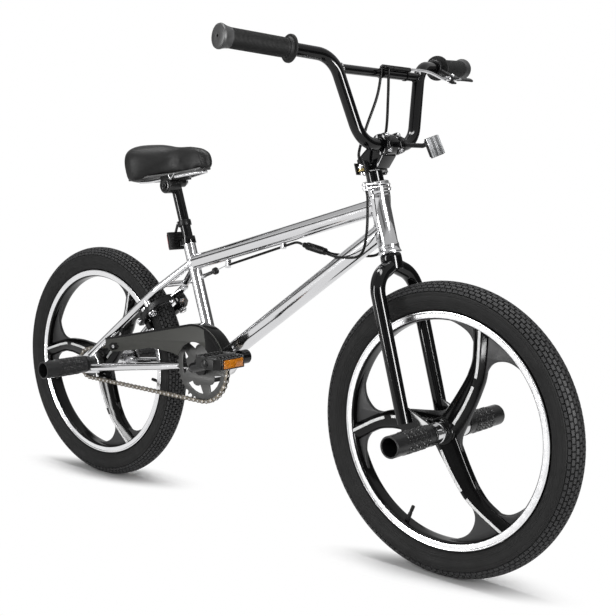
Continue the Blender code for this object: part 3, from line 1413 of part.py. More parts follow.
def make_pedal(word, axle, side):
    """A platform pedal: a barrel round its pin, end plates, and a tread bar before and behind."""
    finish = black_plastic()
    middle = axle + side * (PEDAL_START + PEDAL_WIDTH / 2) * Y_AXIS
    half_length, half_width = PEDAL_LENGTH / 2, PEDAL_WIDTH / 2
    corner = 0.010
    outline = [
        (half_length - corner, -half_width), (half_length, corner - half_width),
        (half_length, half_width - corner), (half_length - corner, half_width),
        (corner - half_length, half_width), (-half_length, half_width - corner),
        (-half_length, corner - half_width), (corner - half_length, -half_width),
    ]
    far, near, wide = half_length - PEDAL_BAR, PEDAL_BARREL_RADIUS - 0.003, half_width - 0.012
    window = [(near, -wide), (far, -wide), (far, wide), (near, wide)]
    windows = [window, [(-x, y) for x, y in window]]
    turn = Matrix.Rotation(PEDAL_PITCH[word], 4, "Y")
    body = plate(f"pedal_{word}", [outline, *windows], PEDAL_HEIGHT, Matrix.Translation(middle) @ turn, finish)
    barrel = rod(
        "barrel", middle - (half_width - 0.003) * Y_AXIS, middle + (half_width - 0.003) * Y_AXIS,
        PEDAL_BARREL_RADIUS, finish, 12,
    )
    trimmed = join(body, barrel)
    hole_end = half_width - 0.004
    hole = rod(
        "pin_hole", middle - side * (half_width + 0.01) * Y_AXIS, middle + side * hole_end * Y_AXIS,
        clear_bore(PEDAL_PIN_RADIUS + RUN, 8), None, 8,
    )
    smooth(cut(trimmed, hole))
    amber = lens("amber_lens", (0.85, 0.32, 0.02))
    for sign, end in ((1, "front"), (-1, "rear")):
        reach = Vector((sign * (half_length + GAP + PEDAL_REFLECTOR[0] / 2), 0, 0))
        place = middle + turn.to_3x3() @ reach
        block(f"pedal_{word}_{end}_reflector", place, PEDAL_REFLECTOR, amber, turn)


def make_guard():
    """The chain guard: a plate over the upper run, with a rim turned in over the chain."""
    finish = material("guard_grey", (0.085, 0.085, 0.07), 0.55)
    rear = -GUARD_LENGTH
    top_rear = 0.028
    lean = math.radians(10.5)
    front_arc = arc((0, 0), GUARD_RADIUS, math.pi / 2 + lean, math.radians(18), 10)
    inner_arc = arc((0, 0), GUARD_INNER_RADIUS, math.radians(24), math.radians(135), 8)
    outline = [
        (rear, top_rear), *front_arc, *inner_arc, (-0.050, 0.018), (-0.075, 0.0225), (-0.130, 0.025),
        (-0.235, 0.004), (-0.262, 0.000), (rear, 0.008),
    ]
    plane = BB - (GUARD_OFFSET + GUARD_PLATE / 2) * Y_AXIS
    guard = plate("chain_guard", [outline], GUARD_PLATE, side_plane(plane), finish)
    lip = GUARD_RADIUS - GUARD_LIP
    over = arc((0, 0), lip, math.pi / 2 + lean, math.radians(19), 10)
    inside = arc((0, 0), lip - GUARD_PLATE, math.radians(19), math.pi / 2 + lean, 10)
    slope = math.atan2(front_arc[0][1] - top_rear, front_arc[0][0] - rear)
    rim_top = top_rear - GUARD_LIP + GUARD_RIM_START * math.tan(slope)
    rim_rear = rear + GUARD_RIM_START
    rim = [(rim_rear, rim_top), *over, *inside, (rim_rear, rim_top - GUARD_PLATE)]
    depth = GUARD_DEPTH - GUARD_PLATE / 2
    middle = BB - (GUARD_OFFSET + GUARD_PLATE / 2 - depth / 2) * Y_AXIS
    flange = plate("rim", [rim], depth, side_plane(middle), finish)
    strap_in = SEAT_TUBE_RADIUS + GAP
    strap_out = GUARD_OFFSET + GUARD_PLATE - GUARD_DEPTH + 0.003
    below = top_rear - GUARD_LIP - GUARD_PLATE / 2 - math.tan(slope) * rear
    seat_at = below / (math.sin(SEAT_ANGLE) + math.tan(slope) * math.cos(SEAT_ANGLE))
    strap = block(
        "strap", BB + seat_at * SEAT_UP - (strap_in + strap_out) / 2 * Y_AXIS,
        (0.016, strap_out - strap_in, 0.0020), finish, Matrix.Rotation(-slope, 4, "Y"),
    )
    join(guard, flange, strap)


# Moving bodies


def carry(name, place, axis, nodes):
    """Hangs a moving body's pieces on an empty that stands on the body's joint axis."""
    empty = bpy.data.objects.new(name, None)
    PART.objects.link(empty)
    matrix = frame_matrix(place, axis, Vector((1, 0, 0)))
    empty.matrix_world = matrix
    for node in nodes:
        piece = bpy.data.objects[node]
        piece.parent = empty
        piece.matrix_parent_inverse = matrix.inverted()


def carry_bodies():
    carry("steering_axis", steer(HEAD_LOW), STEER_UP, [
        "fork", "headset_locknut", "stem", "stem_face_plate", "handlebar", "grip_right", "grip_left",
        "lever_bracket", "rotor_upper_plate", "upper_cable", "front_reflector_bracket", "front_reflector",
        "front_axle", "front_peg_right", "front_peg_left",
    ])
    carry("rotor_axis", steer(ROTOR_BEARING_LOW), STEER_UP, ["rotor_bearing"])
    pivot, axis = lever_pivot()
    carry("lever_axis", pivot, axis, ["brake_lever"])
    carry("front_wheel_axis", FRONT_AXLE, Y_AXIS, [
        "front_wheel", "front_tyre", "front_hub_collar_right", "front_hub_collar_left",
    ])
    carry("rear_wheel_axis", REAR_AXLE, Y_AXIS, ["rear_wheel", "rear_tyre", "rear_hub_collar"])
    carry("freewheel_axis", REAR_AXLE, Y_AXIS, ["freewheel_sprocket"])
    carry("crank_axis", BB, Y_AXIS, ["crank", "chainring"])
    carry("seat_axis", SEAT_TOP, SEAT_UP, [
        "seat_post", "rear_reflector_bracket", "rear_reflector", "saddle_clamp", "saddle_rails",
        "saddle_base", "saddle_cushion",
    ])
    for side, word in ((-1, "right"), (1, "left")):
        carry(f"pedal_{word}_axis", pedal_axle(side), Y_AXIS, [
            f"pedal_{word}", f"pedal_{word}_front_reflector", f"pedal_{word}_rear_reflector",
        ])
        pivot = brake_point(BRAKE_PIVOT_REACH, side * BRAKE_PIVOT_HALF, BRAKE_OFFSET)
        carry(f"brake_{word}_axis", pivot, BRAKE_FORWARD, [f"brake_arm_{word}", f"brake_pad_{word}"])


clear_scene()
make_frame()
make_headset()
make_rotor()
make_fork()
make_handlebar()
make_stem()
make_front_reflector()
make_lever()
make_upper_cable()
make_lower_cables()
make_brake_arms()
make_seat_post()
make_saddle()
make_wheel("front", FRONT_AXLE, FRONT_WHEEL_TURN)
make_wheel("rear", REAR_AXLE, REAR_WHEEL_TURN)
make_collar("front_hub_collar_right", FRONT_AXLE, -1, FRONT_HUB_SPACING)
make_collar("front_hub_collar_left", FRONT_AXLE, 1, FRONT_HUB_SPACING)
make_collar("rear_hub_collar", REAR_AXLE, 1, REAR_HUB_SPACING)
make_axle("front", FRONT_AXLE, FRONT_HUB_SPACING)
make_axle("rear", REAR_AXLE, REAR_HUB_SPACING, True)
make_chain()
make_chainring()
make_freewheel()
make_crank()
make_guard()
carry_bodies()
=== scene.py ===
import json
import math

import bmesh
import bpy
from mathutils import Matrix, Vector
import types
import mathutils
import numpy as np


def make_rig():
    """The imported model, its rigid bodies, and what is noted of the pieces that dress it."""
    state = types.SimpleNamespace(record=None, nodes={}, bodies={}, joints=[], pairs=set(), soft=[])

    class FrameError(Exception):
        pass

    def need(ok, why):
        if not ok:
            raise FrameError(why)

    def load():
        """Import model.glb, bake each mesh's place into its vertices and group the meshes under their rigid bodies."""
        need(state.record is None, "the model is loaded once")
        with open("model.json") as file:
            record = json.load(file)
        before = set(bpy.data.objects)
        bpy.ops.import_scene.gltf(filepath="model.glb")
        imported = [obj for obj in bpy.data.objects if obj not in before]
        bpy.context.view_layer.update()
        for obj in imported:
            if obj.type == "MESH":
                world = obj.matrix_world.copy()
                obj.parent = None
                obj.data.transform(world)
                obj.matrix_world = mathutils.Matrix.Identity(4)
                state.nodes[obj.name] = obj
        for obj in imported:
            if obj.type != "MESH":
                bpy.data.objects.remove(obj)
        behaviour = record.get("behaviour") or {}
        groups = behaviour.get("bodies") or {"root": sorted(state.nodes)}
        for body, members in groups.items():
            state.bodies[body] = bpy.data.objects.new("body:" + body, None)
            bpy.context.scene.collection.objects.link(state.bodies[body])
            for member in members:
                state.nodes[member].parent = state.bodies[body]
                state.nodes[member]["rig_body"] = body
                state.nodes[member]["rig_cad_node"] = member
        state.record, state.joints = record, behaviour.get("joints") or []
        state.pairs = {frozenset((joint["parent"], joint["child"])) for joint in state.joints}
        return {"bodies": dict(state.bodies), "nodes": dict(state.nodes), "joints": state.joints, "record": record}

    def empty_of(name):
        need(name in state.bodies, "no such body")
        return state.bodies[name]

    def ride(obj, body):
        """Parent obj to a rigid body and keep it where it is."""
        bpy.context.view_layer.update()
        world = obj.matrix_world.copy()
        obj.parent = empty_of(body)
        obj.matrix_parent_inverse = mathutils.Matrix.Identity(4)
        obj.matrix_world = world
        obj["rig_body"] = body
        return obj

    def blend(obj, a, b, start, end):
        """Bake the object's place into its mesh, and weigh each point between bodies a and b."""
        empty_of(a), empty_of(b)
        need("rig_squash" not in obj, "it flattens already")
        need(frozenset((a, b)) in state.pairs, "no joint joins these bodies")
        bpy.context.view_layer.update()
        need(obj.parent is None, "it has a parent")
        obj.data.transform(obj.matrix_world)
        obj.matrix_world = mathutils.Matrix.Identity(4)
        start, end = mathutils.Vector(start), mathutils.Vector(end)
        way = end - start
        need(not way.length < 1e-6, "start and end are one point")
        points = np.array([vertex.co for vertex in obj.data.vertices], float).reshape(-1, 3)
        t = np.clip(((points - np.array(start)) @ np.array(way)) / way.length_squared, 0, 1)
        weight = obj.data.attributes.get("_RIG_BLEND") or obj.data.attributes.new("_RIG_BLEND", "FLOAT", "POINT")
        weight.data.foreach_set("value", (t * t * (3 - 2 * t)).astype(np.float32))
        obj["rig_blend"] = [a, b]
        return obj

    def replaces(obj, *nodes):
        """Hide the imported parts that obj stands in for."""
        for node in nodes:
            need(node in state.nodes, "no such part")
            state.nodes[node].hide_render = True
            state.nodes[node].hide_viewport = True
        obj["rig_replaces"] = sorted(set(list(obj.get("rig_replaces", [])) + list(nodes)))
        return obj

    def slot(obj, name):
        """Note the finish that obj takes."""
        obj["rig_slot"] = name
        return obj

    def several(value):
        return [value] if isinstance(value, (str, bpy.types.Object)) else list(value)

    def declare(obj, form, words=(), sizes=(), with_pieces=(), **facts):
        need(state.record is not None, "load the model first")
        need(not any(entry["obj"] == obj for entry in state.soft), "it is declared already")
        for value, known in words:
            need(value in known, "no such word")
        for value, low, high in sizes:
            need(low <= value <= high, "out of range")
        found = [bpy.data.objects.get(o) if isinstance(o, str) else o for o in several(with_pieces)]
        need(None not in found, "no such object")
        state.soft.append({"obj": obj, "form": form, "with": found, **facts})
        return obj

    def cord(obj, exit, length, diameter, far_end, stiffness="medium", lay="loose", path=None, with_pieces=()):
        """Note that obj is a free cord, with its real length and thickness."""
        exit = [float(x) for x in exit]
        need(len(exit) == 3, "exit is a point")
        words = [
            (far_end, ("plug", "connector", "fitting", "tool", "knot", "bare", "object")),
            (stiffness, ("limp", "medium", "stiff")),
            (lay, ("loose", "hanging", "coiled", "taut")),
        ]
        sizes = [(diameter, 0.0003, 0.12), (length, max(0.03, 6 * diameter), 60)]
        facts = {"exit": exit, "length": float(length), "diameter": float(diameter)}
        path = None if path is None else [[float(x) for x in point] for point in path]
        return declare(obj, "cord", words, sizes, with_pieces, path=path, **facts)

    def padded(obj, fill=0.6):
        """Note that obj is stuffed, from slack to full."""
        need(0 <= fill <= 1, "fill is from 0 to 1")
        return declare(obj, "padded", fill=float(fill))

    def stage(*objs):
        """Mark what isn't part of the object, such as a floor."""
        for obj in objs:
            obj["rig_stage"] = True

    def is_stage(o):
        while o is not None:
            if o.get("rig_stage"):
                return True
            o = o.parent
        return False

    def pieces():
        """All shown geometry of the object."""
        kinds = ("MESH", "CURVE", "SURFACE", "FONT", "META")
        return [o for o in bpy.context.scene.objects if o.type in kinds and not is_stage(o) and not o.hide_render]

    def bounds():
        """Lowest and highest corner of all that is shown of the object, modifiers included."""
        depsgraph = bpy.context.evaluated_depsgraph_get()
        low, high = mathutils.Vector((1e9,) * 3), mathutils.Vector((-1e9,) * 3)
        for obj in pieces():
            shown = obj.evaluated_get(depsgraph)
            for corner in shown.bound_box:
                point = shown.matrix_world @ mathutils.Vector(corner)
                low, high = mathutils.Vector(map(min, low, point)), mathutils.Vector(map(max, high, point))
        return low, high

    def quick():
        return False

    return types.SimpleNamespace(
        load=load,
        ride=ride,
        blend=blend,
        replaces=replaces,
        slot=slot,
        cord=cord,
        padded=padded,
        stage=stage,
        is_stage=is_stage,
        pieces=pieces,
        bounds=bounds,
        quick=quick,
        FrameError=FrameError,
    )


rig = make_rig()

for leftOver in list(bpy.data.objects):
    bpy.data.objects.remove(leftOver)
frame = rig.load()
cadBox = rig.bounds()
scene = bpy.context.scene
scene.view_settings.view_transform = "Standard"
bodyOf = {node: body for body, nodes in frame["record"]["behaviour"]["bodies"].items() for node in nodes}
slotOf = {row["node"]: row["material_slot"] for row in frame["record"]["subparts"]}


def polar(radius, degrees):
    return radius * math.cos(math.radians(degrees)), radius * math.sin(math.radians(degrees))


def slopeAt(degrees):
    across, up = polar(1, degrees)
    return Vector((across, 0, up))


# main places, the same as the solids
xAxis, yAxis, zAxis = Vector((1, 0, 0)), Vector((0, 1, 0)), Vector((0, 0, 1))
rearAxle, frontAxle = Vector((-0.4655, 0, 0.26)), Vector((0.4655, 0, 0.26))
bbCentre = Vector((-0.101794, 0, 0.3015))
steerFoot = Vector((0.424166, 0, 0.248148))
steerUp = Vector((-0.275637, 0, 0.961262))
steerForward = Vector((0.961262, 0, 0.275637))
seatUp = Vector((-0.325568, 0, 0.945519))
seatTop = bbCentre + 0.2643 * seatUp
postTop = seatTop + 0.126 * seatUp
brakeOut, brakeForward = slopeAt(40), slopeAt(-50)
hands = ((-1, "right"), (1, "left"))


def steerAt(along, forward=0.0, side=0.0):
    return steerFoot + along * steerUp + forward * steerForward + side * yAxis


def brakeAt(out, half, forward):
    return rearAxle + out * brakeOut + half * yAxis + forward * brakeForward


def placeAlong(origin, up, across=xAxis):
    z = up.normalized()
    if abs(z.dot(across.normalized())) > 0.95:
        across = zAxis
    x = (across - z * across.dot(z)).normalized()
    turned = Matrix((x, z.cross(x), z)).transposed().to_4x4()
    turned.translation = origin
    return turned


def sidePlane(origin):  # x forward, y up, z to the bike's right
    return placeAlong(origin, -yAxis)


def moved(matrix, *shift):
    return matrix @ Matrix.Translation(shift)


def mm(*rows):  # rows written in millimetres, given back in metres
    return [tuple(value / 1000 for value in row) for row in rows]


def bothSides(side):
    return side + [(radius, -half) for radius, half in reversed(side)]


def arc(radius, start, end, steps):
    return [polar(radius, start + (end - start) * k / steps) for k in range(steps + 1)]


def circle(radius, steps):
    return arc(radius, 0, 360, steps)[:-1]


def bentRoute(corners, radius, steps=10):
    points = [corners[0]]
    for before, corner, after in zip(corners, corners[1:], corners[2:]):
        into, out = (before - corner).normalized(), (after - corner).normalized()
        half = into.angle(out) / 2
        reach = radius / math.tan(half)
        centre = corner + (into + out).normalized() * radius / math.sin(half)
        start, end = corner + into * reach - centre, corner + out * reach - centre
        turn = start.angle(end)
        for step in range(steps + 1):
            share = step / steps
            across = start * math.sin((1 - share) * turn) + end * math.sin(share * turn)
            points.append(centre + across / math.sin(turn))
    return points + [corners[-1]]


def smoothRoute(points, perSpan=7, closed=False):
    points = [Vector(point) for point in points]
    if closed:
        points = points[-1:] + points + points[:2]
    else:
        points = [2 * points[0] - points[1], *points, 2 * points[-1] - points[-2]]
    made = []
    for a, b, c, d in zip(points, points[1:], points[2:], points[3:]):
        for step in range(perSpan):
            t = step / perSpan
            bend = (2 * a - 5 * b + 4 * c - d) * t**2 + (3 * b - a - 3 * c + d) * t**3
            made.append((2 * b + (c - a) * t + bend) / 2)
    return made if closed else made + [points[-2]]


# mesh makers, each adds its faces to the piece being worked on
def asMesh(work, name="part"):
    mesh = bpy.data.meshes.new(name)
    work.to_mesh(mesh)
    work.free()
    return mesh


def asObject(name, data):
    made = bpy.data.objects.new(name, data)
    scene.collection.objects.link(made)
    return made


def settled(piece):
    return bpy.data.meshes.new_from_object(piece.evaluated_get(bpy.context.evaluated_depsgraph_get()))


def takeWork(work, made, slot=None, matrix=None):
    start = len(work.faces)
    if matrix:
        bmesh.ops.transform(made, matrix=matrix, verts=made.verts)
    mesh = asMesh(made)
    work.from_mesh(mesh)
    bpy.data.meshes.remove(mesh)
    work.faces.ensure_lookup_table()
    if slot is not None:
        for face in work.faces[start:]:
            face.material_index = slot


def spinRound(work, geom, axis, angle, steps, merge=False, duplicate=False):
    bmesh.ops.spin(work, geom=geom, cent=(0, 0, 0), axis=axis, dvec=(0, 0, 0), angle=angle, steps=steps,
                   use_merge=merge, use_normal_flip=False, use_duplicate=duplicate)


def cleaned(work):
    bmesh.ops.remove_doubles(work, verts=work.verts, dist=1e-6)
    bmesh.ops.recalc_face_normals(work, faces=work.faces)


def rounded(work, edges, width, segments, clamp=False):
    bmesh.ops.bevel(work, geom=edges, offset=width, offset_type="OFFSET", affect="EDGES", segments=segments,
                    profile=0.5, material=-1, clamp_overlap=clamp)


def spun(work, place, axis, steps, profile, slot=0):  # a profile that starts on the axis is left open there
    made = bmesh.new()
    ring = [made.verts.new((radius, 0, height)) for radius, height in profile]
    loop = ring + ring[:1] if profile[0][0] else ring
    edges = [made.edges.new(pair) for pair in zip(loop, loop[1:])]
    spinRound(made, ring + edges, zAxis, math.tau, steps, merge=True)
    cleaned(made)
    takeWork(work, made, slot, placeAlong(place, axis))


def curveWork(routes, closed, radii=None, **settings):
    curve = bpy.data.curves.new("route", "CURVE")
    for key, value in settings.items():
        setattr(curve, key, value)
    for route in routes:
        spline = curve.splines.new("POLY")
        spline.use_cyclic_u = closed
        spline.points.add(len(route) - 1)
        for index, (point, place) in enumerate(zip(spline.points, route)):
            point.co = (*place, 1)
            if radii:
                point.radius = radii(index / (len(route) - 1))
    holder = asObject("holder", curve)
    bpy.context.view_layer.update()
    mesh = settled(holder)
    bpy.data.objects.remove(holder)
    bpy.data.curves.remove(curve)
    made = bmesh.new()
    made.from_mesh(mesh)
    bpy.data.meshes.remove(mesh)
    cleaned(made)
    return made


def bar(work, points, radius, sides=28, slot=0, radii=None, closed=False):
    takeWork(work, curveWork([points], closed, radii, dimensions="3D", bevel_depth=radius,
                             bevel_resolution=(sides - 4) // 2, use_fill_caps=not closed), slot)


def plate(work, outlines, thickness, rounding, matrix, slot=0, roundSteps=2):
    flat = [[(place[0], place[1], 0) for place in outline] for outline in outlines]
    made = curveWork(flat, True, dimensions="2D", fill_mode="BOTH", extrude=thickness / 2 - rounding,
                     bevel_depth=rounding, bevel_resolution=roundSteps, offset=-rounding)
    takeWork(work, made, slot, matrix)


def loft(work, stations, paint):  # rings of points joined by extruding one to the next, paint gives each strip's slot
    made = bmesh.new()
    ring = [made.verts.new(point) for point in stations[0]]
    edges = [made.edges.new(pair) for pair in zip(ring, ring[1:] + ring[:1])]
    made.faces.new(ring)
    for index, station in enumerate(stations[1:]):
        grown = set(bmesh.ops.extrude_edge_only(made, edges=edges)["geom"])
        ring = [next(link.other_vert(vert) for link in vert.link_edges if link.other_vert(vert) in grown)
                for vert in ring]
        for vert, point in zip(ring, station):
            vert.co = point
        for number, edge in enumerate(edges):
            next(face for face in edge.link_faces if face in grown).material_index = paint(index, number)
        edges = [made.edges.get(pair) for pair in zip(ring, ring[1:] + ring[:1])]
    made.faces.new(ring)
    bmesh.ops.recalc_face_normals(made, faces=made.faces)
    takeWork(work, made)


def brick(work, size, matrix, rounding=0.0005, slot=0, segments=2):
    made = bmesh.new()
    bmesh.ops.create_cube(made, size=1, matrix=Matrix.Diagonal((*size, 1)))
    rounded(made, made.edges[:], rounding, segments)
    takeWork(work, made, slot, matrix)


def capScrew(work, place, axis, radius=0.003, height=0.003, slot=0):  # round head with a socket
    spun(work, place, axis, 18, [(0, -0.001), (radius, -0.001), (radius, height * 0.75), (radius * 0.85, height),
                                 (radius * 0.5, height), (radius * 0.46, height * 0.35), (0, height * 0.35)], slot)


def hexNut(work, place, axis, radius, height, slot=0):
    made = bmesh.new()
    bmesh.ops.create_cone(made, cap_ends=True, segments=6, radius1=radius, radius2=radius, depth=height)
    rounded(made, made.edges[:], radius * 0.06, 1)
    takeWork(work, made, slot, placeAlong(place + axis.normalized() * height / 2, axis))


def bevelledNode(node, width, angle=30, segments=2):  # a solid's own shape with its edges worked
    work = bmesh.new()
    work.from_mesh(frame["nodes"][node].data)
    bmesh.ops.remove_doubles(work, verts=work.verts, dist=1e-6)
    bmesh.ops.dissolve_limit(work, angle_limit=math.radians(0.5), verts=work.verts, edges=work.edges)
    sharp = [edge for edge in work.edges if len(edge.link_faces) == 2 and edge.calc_face_angle(0) > math.radians(angle)]
    rounded(work, sharp, width, segments, clamp=True)
    for face in work.faces:
        face.material_index = 0
    return work


def finishPiece(work, name, finishes, body, slot, replaced=(), angle=35):
    mesh = asMesh(work, name)
    for finish in finishes:
        mesh.materials.append(finish)
    mesh.shade_smooth()
    mesh.set_sharp_from_angle(angle=math.radians(angle))
    piece = asObject(name, mesh)
    if body:  # a piece that bends between two bodies is given them afterwards
        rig.ride(piece, body)
    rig.slot(piece, slot)
    if replaced:
        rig.replaces(piece, *replaced)
    return piece


def dress(work, name, finishes, node, angle=35):  # a piece shown in place of one solid
    return finishPiece(work, name, finishes, bodyOf[node], slotOf[node], [node], angle)


# shared effects
def addNode(tree, kind, inputs=None, **settings):  # a socket is linked, a value is set
    node = tree.nodes.new("ShaderNode" + kind)
    for key, value in settings.items():
        setattr(node, key, value)
    for key, value in (inputs or {}).items():
        if isinstance(value, bpy.types.NodeSocket):
            tree.links.new(value, node.inputs[key])
        else:
            node.inputs[key].default_value = value
    return node


def newGroup(name, inputs, output, detail):  # each effect starts from a cloud in the piece's own space
    group = bpy.data.node_groups.new(name, "ShaderNodeTree")
    for socket, value in inputs.items():
        kind = "NodeSocketColor" if isinstance(value, tuple) else "NodeSocketFloat"
        group.interface.new_socket(socket, in_out="INPUT", socket_type=kind).default_value = value
    group.interface.new_socket(output, in_out="OUTPUT",
                               socket_type="NodeSocketColor" if output == "Color" else "NodeSocketFloat")
    source = group.nodes.new("NodeGroupInput").outputs
    place = addNode(group, "TexCoord").outputs["Object"]
    cloud = addNode(group, "TexNoise", {"Vector": place, "Scale": source["Scale"], "Detail": detail})
    return group, source, place, cloud.outputs["Fac"]


def closeGroup(group, result):
    group.links.new(result, group.nodes.new("NodeGroupOutput").inputs[0])
    return group


def makeGlossDrift():  # roughness that wanders a little, as handled surfaces do
    group, source, place, cloud = newGroup("glossDrift", {"Scale": 30.0, "Low": 0.1, "High": 0.2}, "Roughness", 6.0)
    span = addNode(group, "MapRange", {"Value": cloud, "From Min": 0.3, "From Max": 0.7, "To Min": source["Low"],
                                       "To Max": source["High"]})
    return closeGroup(group, span.outputs["Result"])


def makeToneDrift():  # two close tones in soft patches
    group, source, place, cloud = newGroup("toneDrift", {"Scale": 12.0, "Dark": (0, 0, 0, 1), "Light": (1, 1, 1, 1)},
                                           "Color", 5.0)
    mix = addNode(group, "Mix", {0: cloud, 6: source["Dark"], 7: source["Light"]}, data_type="RGBA")
    return closeGroup(group, mix.outputs[2])


def makeGrain():  # fine pebbled height
    group, source, place, cloud = newGroup("grain", {"Scale": 900.0, "Pebble": 0.5}, "Height", 2.0)
    cells = addNode(group, "TexVoronoi", {"Vector": place, "Scale": source["Scale"]})
    mix = addNode(group, "Mix", {0: source["Pebble"], 2: cloud, 3: cells.outputs["Distance"]})
    return closeGroup(group, mix.outputs[0])


groups = {"gloss": makeGlossDrift(), "tone": makeToneDrift(), "grain": makeGrain()}
print("groups ready")


def startFinish(name, colour, rough, metal=0.0, specular=None):
    finish = bpy.data.materials.new(name)
    finish.use_nodes = True
    shader = finish.node_tree.nodes["Principled BSDF"]
    shader.inputs["Base Color"].default_value = (*colour, 1)
    shader.inputs["Roughness"].default_value = rough
    shader.inputs["Metallic"].default_value = metal
    if specular is not None:
        shader.inputs["Specular IOR Level"].default_value = specular
    return finish, finish.node_tree, shader


def driftFinish(name, dark, light, low, high, metal, toneScale, glossScale, grain=None, specular=None):
    dark, light = ((tone,) * 3 if isinstance(tone, float) else tone for tone in (dark, light))
    finish, tree, shader = startFinish(name, light, high, metal, specular)

    def effect(key, target, **values):
        node = addNode(tree, "Group", node_tree=groups[key])
        for socket, value in values.items():
            node.inputs[socket].default_value = value
        tree.links.new(node.outputs[0], target)
    effect("tone", shader.inputs["Base Color"], Scale=toneScale, Dark=(*dark, 1), Light=(*light, 1))
    effect("gloss", shader.inputs["Roughness"], Scale=glossScale, Low=low, High=high)
    if grain:
        scale, strength, pebble = grain
        bump = addNode(tree, "Bump", {"Strength": strength, "Distance": 0.0005})
        effect("grain", bump.inputs["Height"], Scale=scale, Pebble=pebble)
        tree.links.new(bump.outputs["Normal"], shader.inputs["Normal"])
    return finish


# each has a dark and a light tone, least and most roughness, metal, and the scales of tone and gloss
chromeFinish = driftFinish("chromePlate", (0.62, 0.62, 0.63), (0.71, 0.71, 0.72), 0.1, 0.16, 1.0, 9.0, 25.0)
blackPaint = driftFinish("blackPaint", (0.0022, 0.0022, 0.0026), (0.004, 0.004, 0.0044), 0.06, 0.11, 0.0, 20.0,
                         60.0, specular=0.3)
wheelBlack = driftFinish("wheelBlack", (0.0022, 0.0022, 0.0024), (0.004, 0.004, 0.0042), 0.1, 0.17, 0.0, 20.0,
                         60.0, specular=0.2)
blackPlastic = driftFinish("blackPlastic", (0.006, 0.006, 0.0065), (0.012, 0.012, 0.0125), 0.3, 0.42, 0.0, 40.0,
                           80.0, (700.0, 0.15, 0.3), 0.2)
webGrey = driftFinish("wheelWebGrey", (0.03, 0.03, 0.031), (0.04, 0.04, 0.041), 0.42, 0.55, 0.0, 30.0, 90.0,
                      (600.0, 0.2, 0.3), 0.3)
rimSilver = driftFinish("rimSilver", (0.7, 0.7, 0.71), (0.82, 0.82, 0.83), 0.16, 0.26, 1.0, 30.0, 120.0)
stripeWhite = driftFinish("stripeWhite", 0.8, 0.88, 0.3, 0.4, 0.0, 30.0, 60.0)
tyreRubber = driftFinish("tyreRubber", 0.016, 0.026, 0.55, 0.72, 0.0, 35.0, 60.0, (500.0, 0.35, 0.4), 0.11)
treadRubber = driftFinish("treadRubber", (0.03, 0.03, 0.031), (0.046, 0.046, 0.047), 0.46, 0.62, 0.0, 30.0, 60.0,
                          specular=0.16)
gripRubber = driftFinish("gripRubber", 0.01, 0.018, 0.5, 0.65, 0.0, 60.0, 90.0, (900.0, 0.3, 0.5), 0.16)
gripEnd = driftFinish("gripEnd", (0.026, 0.026, 0.027), (0.042, 0.042, 0.043), 0.42, 0.55, 0.0, 60.0, 90.0,
                      (900.0, 0.2, 0.5))
pegBlack = driftFinish("pegBlack", (0.007, 0.007, 0.0075), (0.014, 0.014, 0.0145), 0.28, 0.4, 0.0, 40.0, 90.0,
                       (700.0, 0.2, 0.3), 0.35)
ringSteel = driftFinish("chainringSteel", (0.055, 0.055, 0.054), (0.085, 0.085, 0.083), 0.34, 0.5, 0.7, 30.0, 120.0)
chainLink = driftFinish("chainLink", (0.12, 0.105, 0.085), (0.2, 0.178, 0.145), 0.26, 0.42, 0.75, 60.0, 90.0)
brightSteel = driftFinish("brightSteel", (0.55, 0.55, 0.56), (0.72, 0.72, 0.73), 0.16, 0.3, 1.0, 60.0, 120.0)
boltBlack = driftFinish("boltBlack", 0.01, 0.026, 0.22, 0.38, 0.4, 80.0, 140.0)
brassFinish = driftFinish("brassBarrel", (0.62, 0.47, 0.17), (0.8, 0.64, 0.28), 0.16, 0.28, 1.0, 60.0, 120.0)
# chain guard face: the olive grey is made lighter as painted light where the face catches light; the black on the line
# below is the real gloss black of the rim and also paints dark reflection over the front of the face
guardLitOliveGrey = driftFinish("guardLitOliveGrey", (0.026, 0.0265, 0.0215), (0.036, 0.0365, 0.03), 0.4, 0.52, 0.0, 16.0, 60.0,
                        (600.0, 0.15, 0.3), 0.35)
guardBlackAndDarkReflection = driftFinish("guardBlackAndDarkReflection", 0.003, 0.006, 0.08, 0.16, 0.0, 20.0, 40.0, specular=0.12)
pedalBlack = driftFinish("pedalBlack", 0.004, 0.008, 0.3, 0.44, 0.0, 20.0, 50.0, specular=0.26)
cableBlack = driftFinish("cableHousing", 0.003, 0.006, 0.26, 0.4, 0.0, 60.0, 90.0, specular=0.14)
saddleVinyl = driftFinish("saddleVinyl", 0.005, 0.01, 0.42, 0.54, 0.0, 22.0, 60.0, (1100.0, 0.45, 0.6), 0.22)
saddleShell = driftFinish("saddleShell", 0.03, 0.055, 0.4, 0.55, 0.0, 30.0, 60.0)
# the clear reflector lens in a lit copy and a shaded copy: painted bright and dark reflection bands
litLensBands = driftFinish("litLensBands", (0.46, 0.47, 0.48), (0.66, 0.67, 0.68), 0.06, 0.14, 0.35, 60.0, 60.0)
shadedLensBands = driftFinish("shadedLensBands", (0.16, 0.165, 0.17), (0.25, 0.255, 0.26), 0.08, 0.16, 0.35, 60.0, 60.0)
amberLens = driftFinish("amberLens", (0.55, 0.16, 0.008), (0.78, 0.27, 0.015), 0.08, 0.18, 0.0, 90.0, 60.0)
redLens = driftFinish("redLens", (0.28, 0.008, 0.008), (0.45, 0.014, 0.012), 0.08, 0.18, 0.0, 90.0, 60.0)
print("finishes ready")

# stage, light and camera
stageLook = {"floor": 0.84, "shownGain": 0.1, "zone": (0.24, 0.075), "lean": 13, "fade": (0.35, 1.15),
             "worldLight": 0.3, "size": 14}


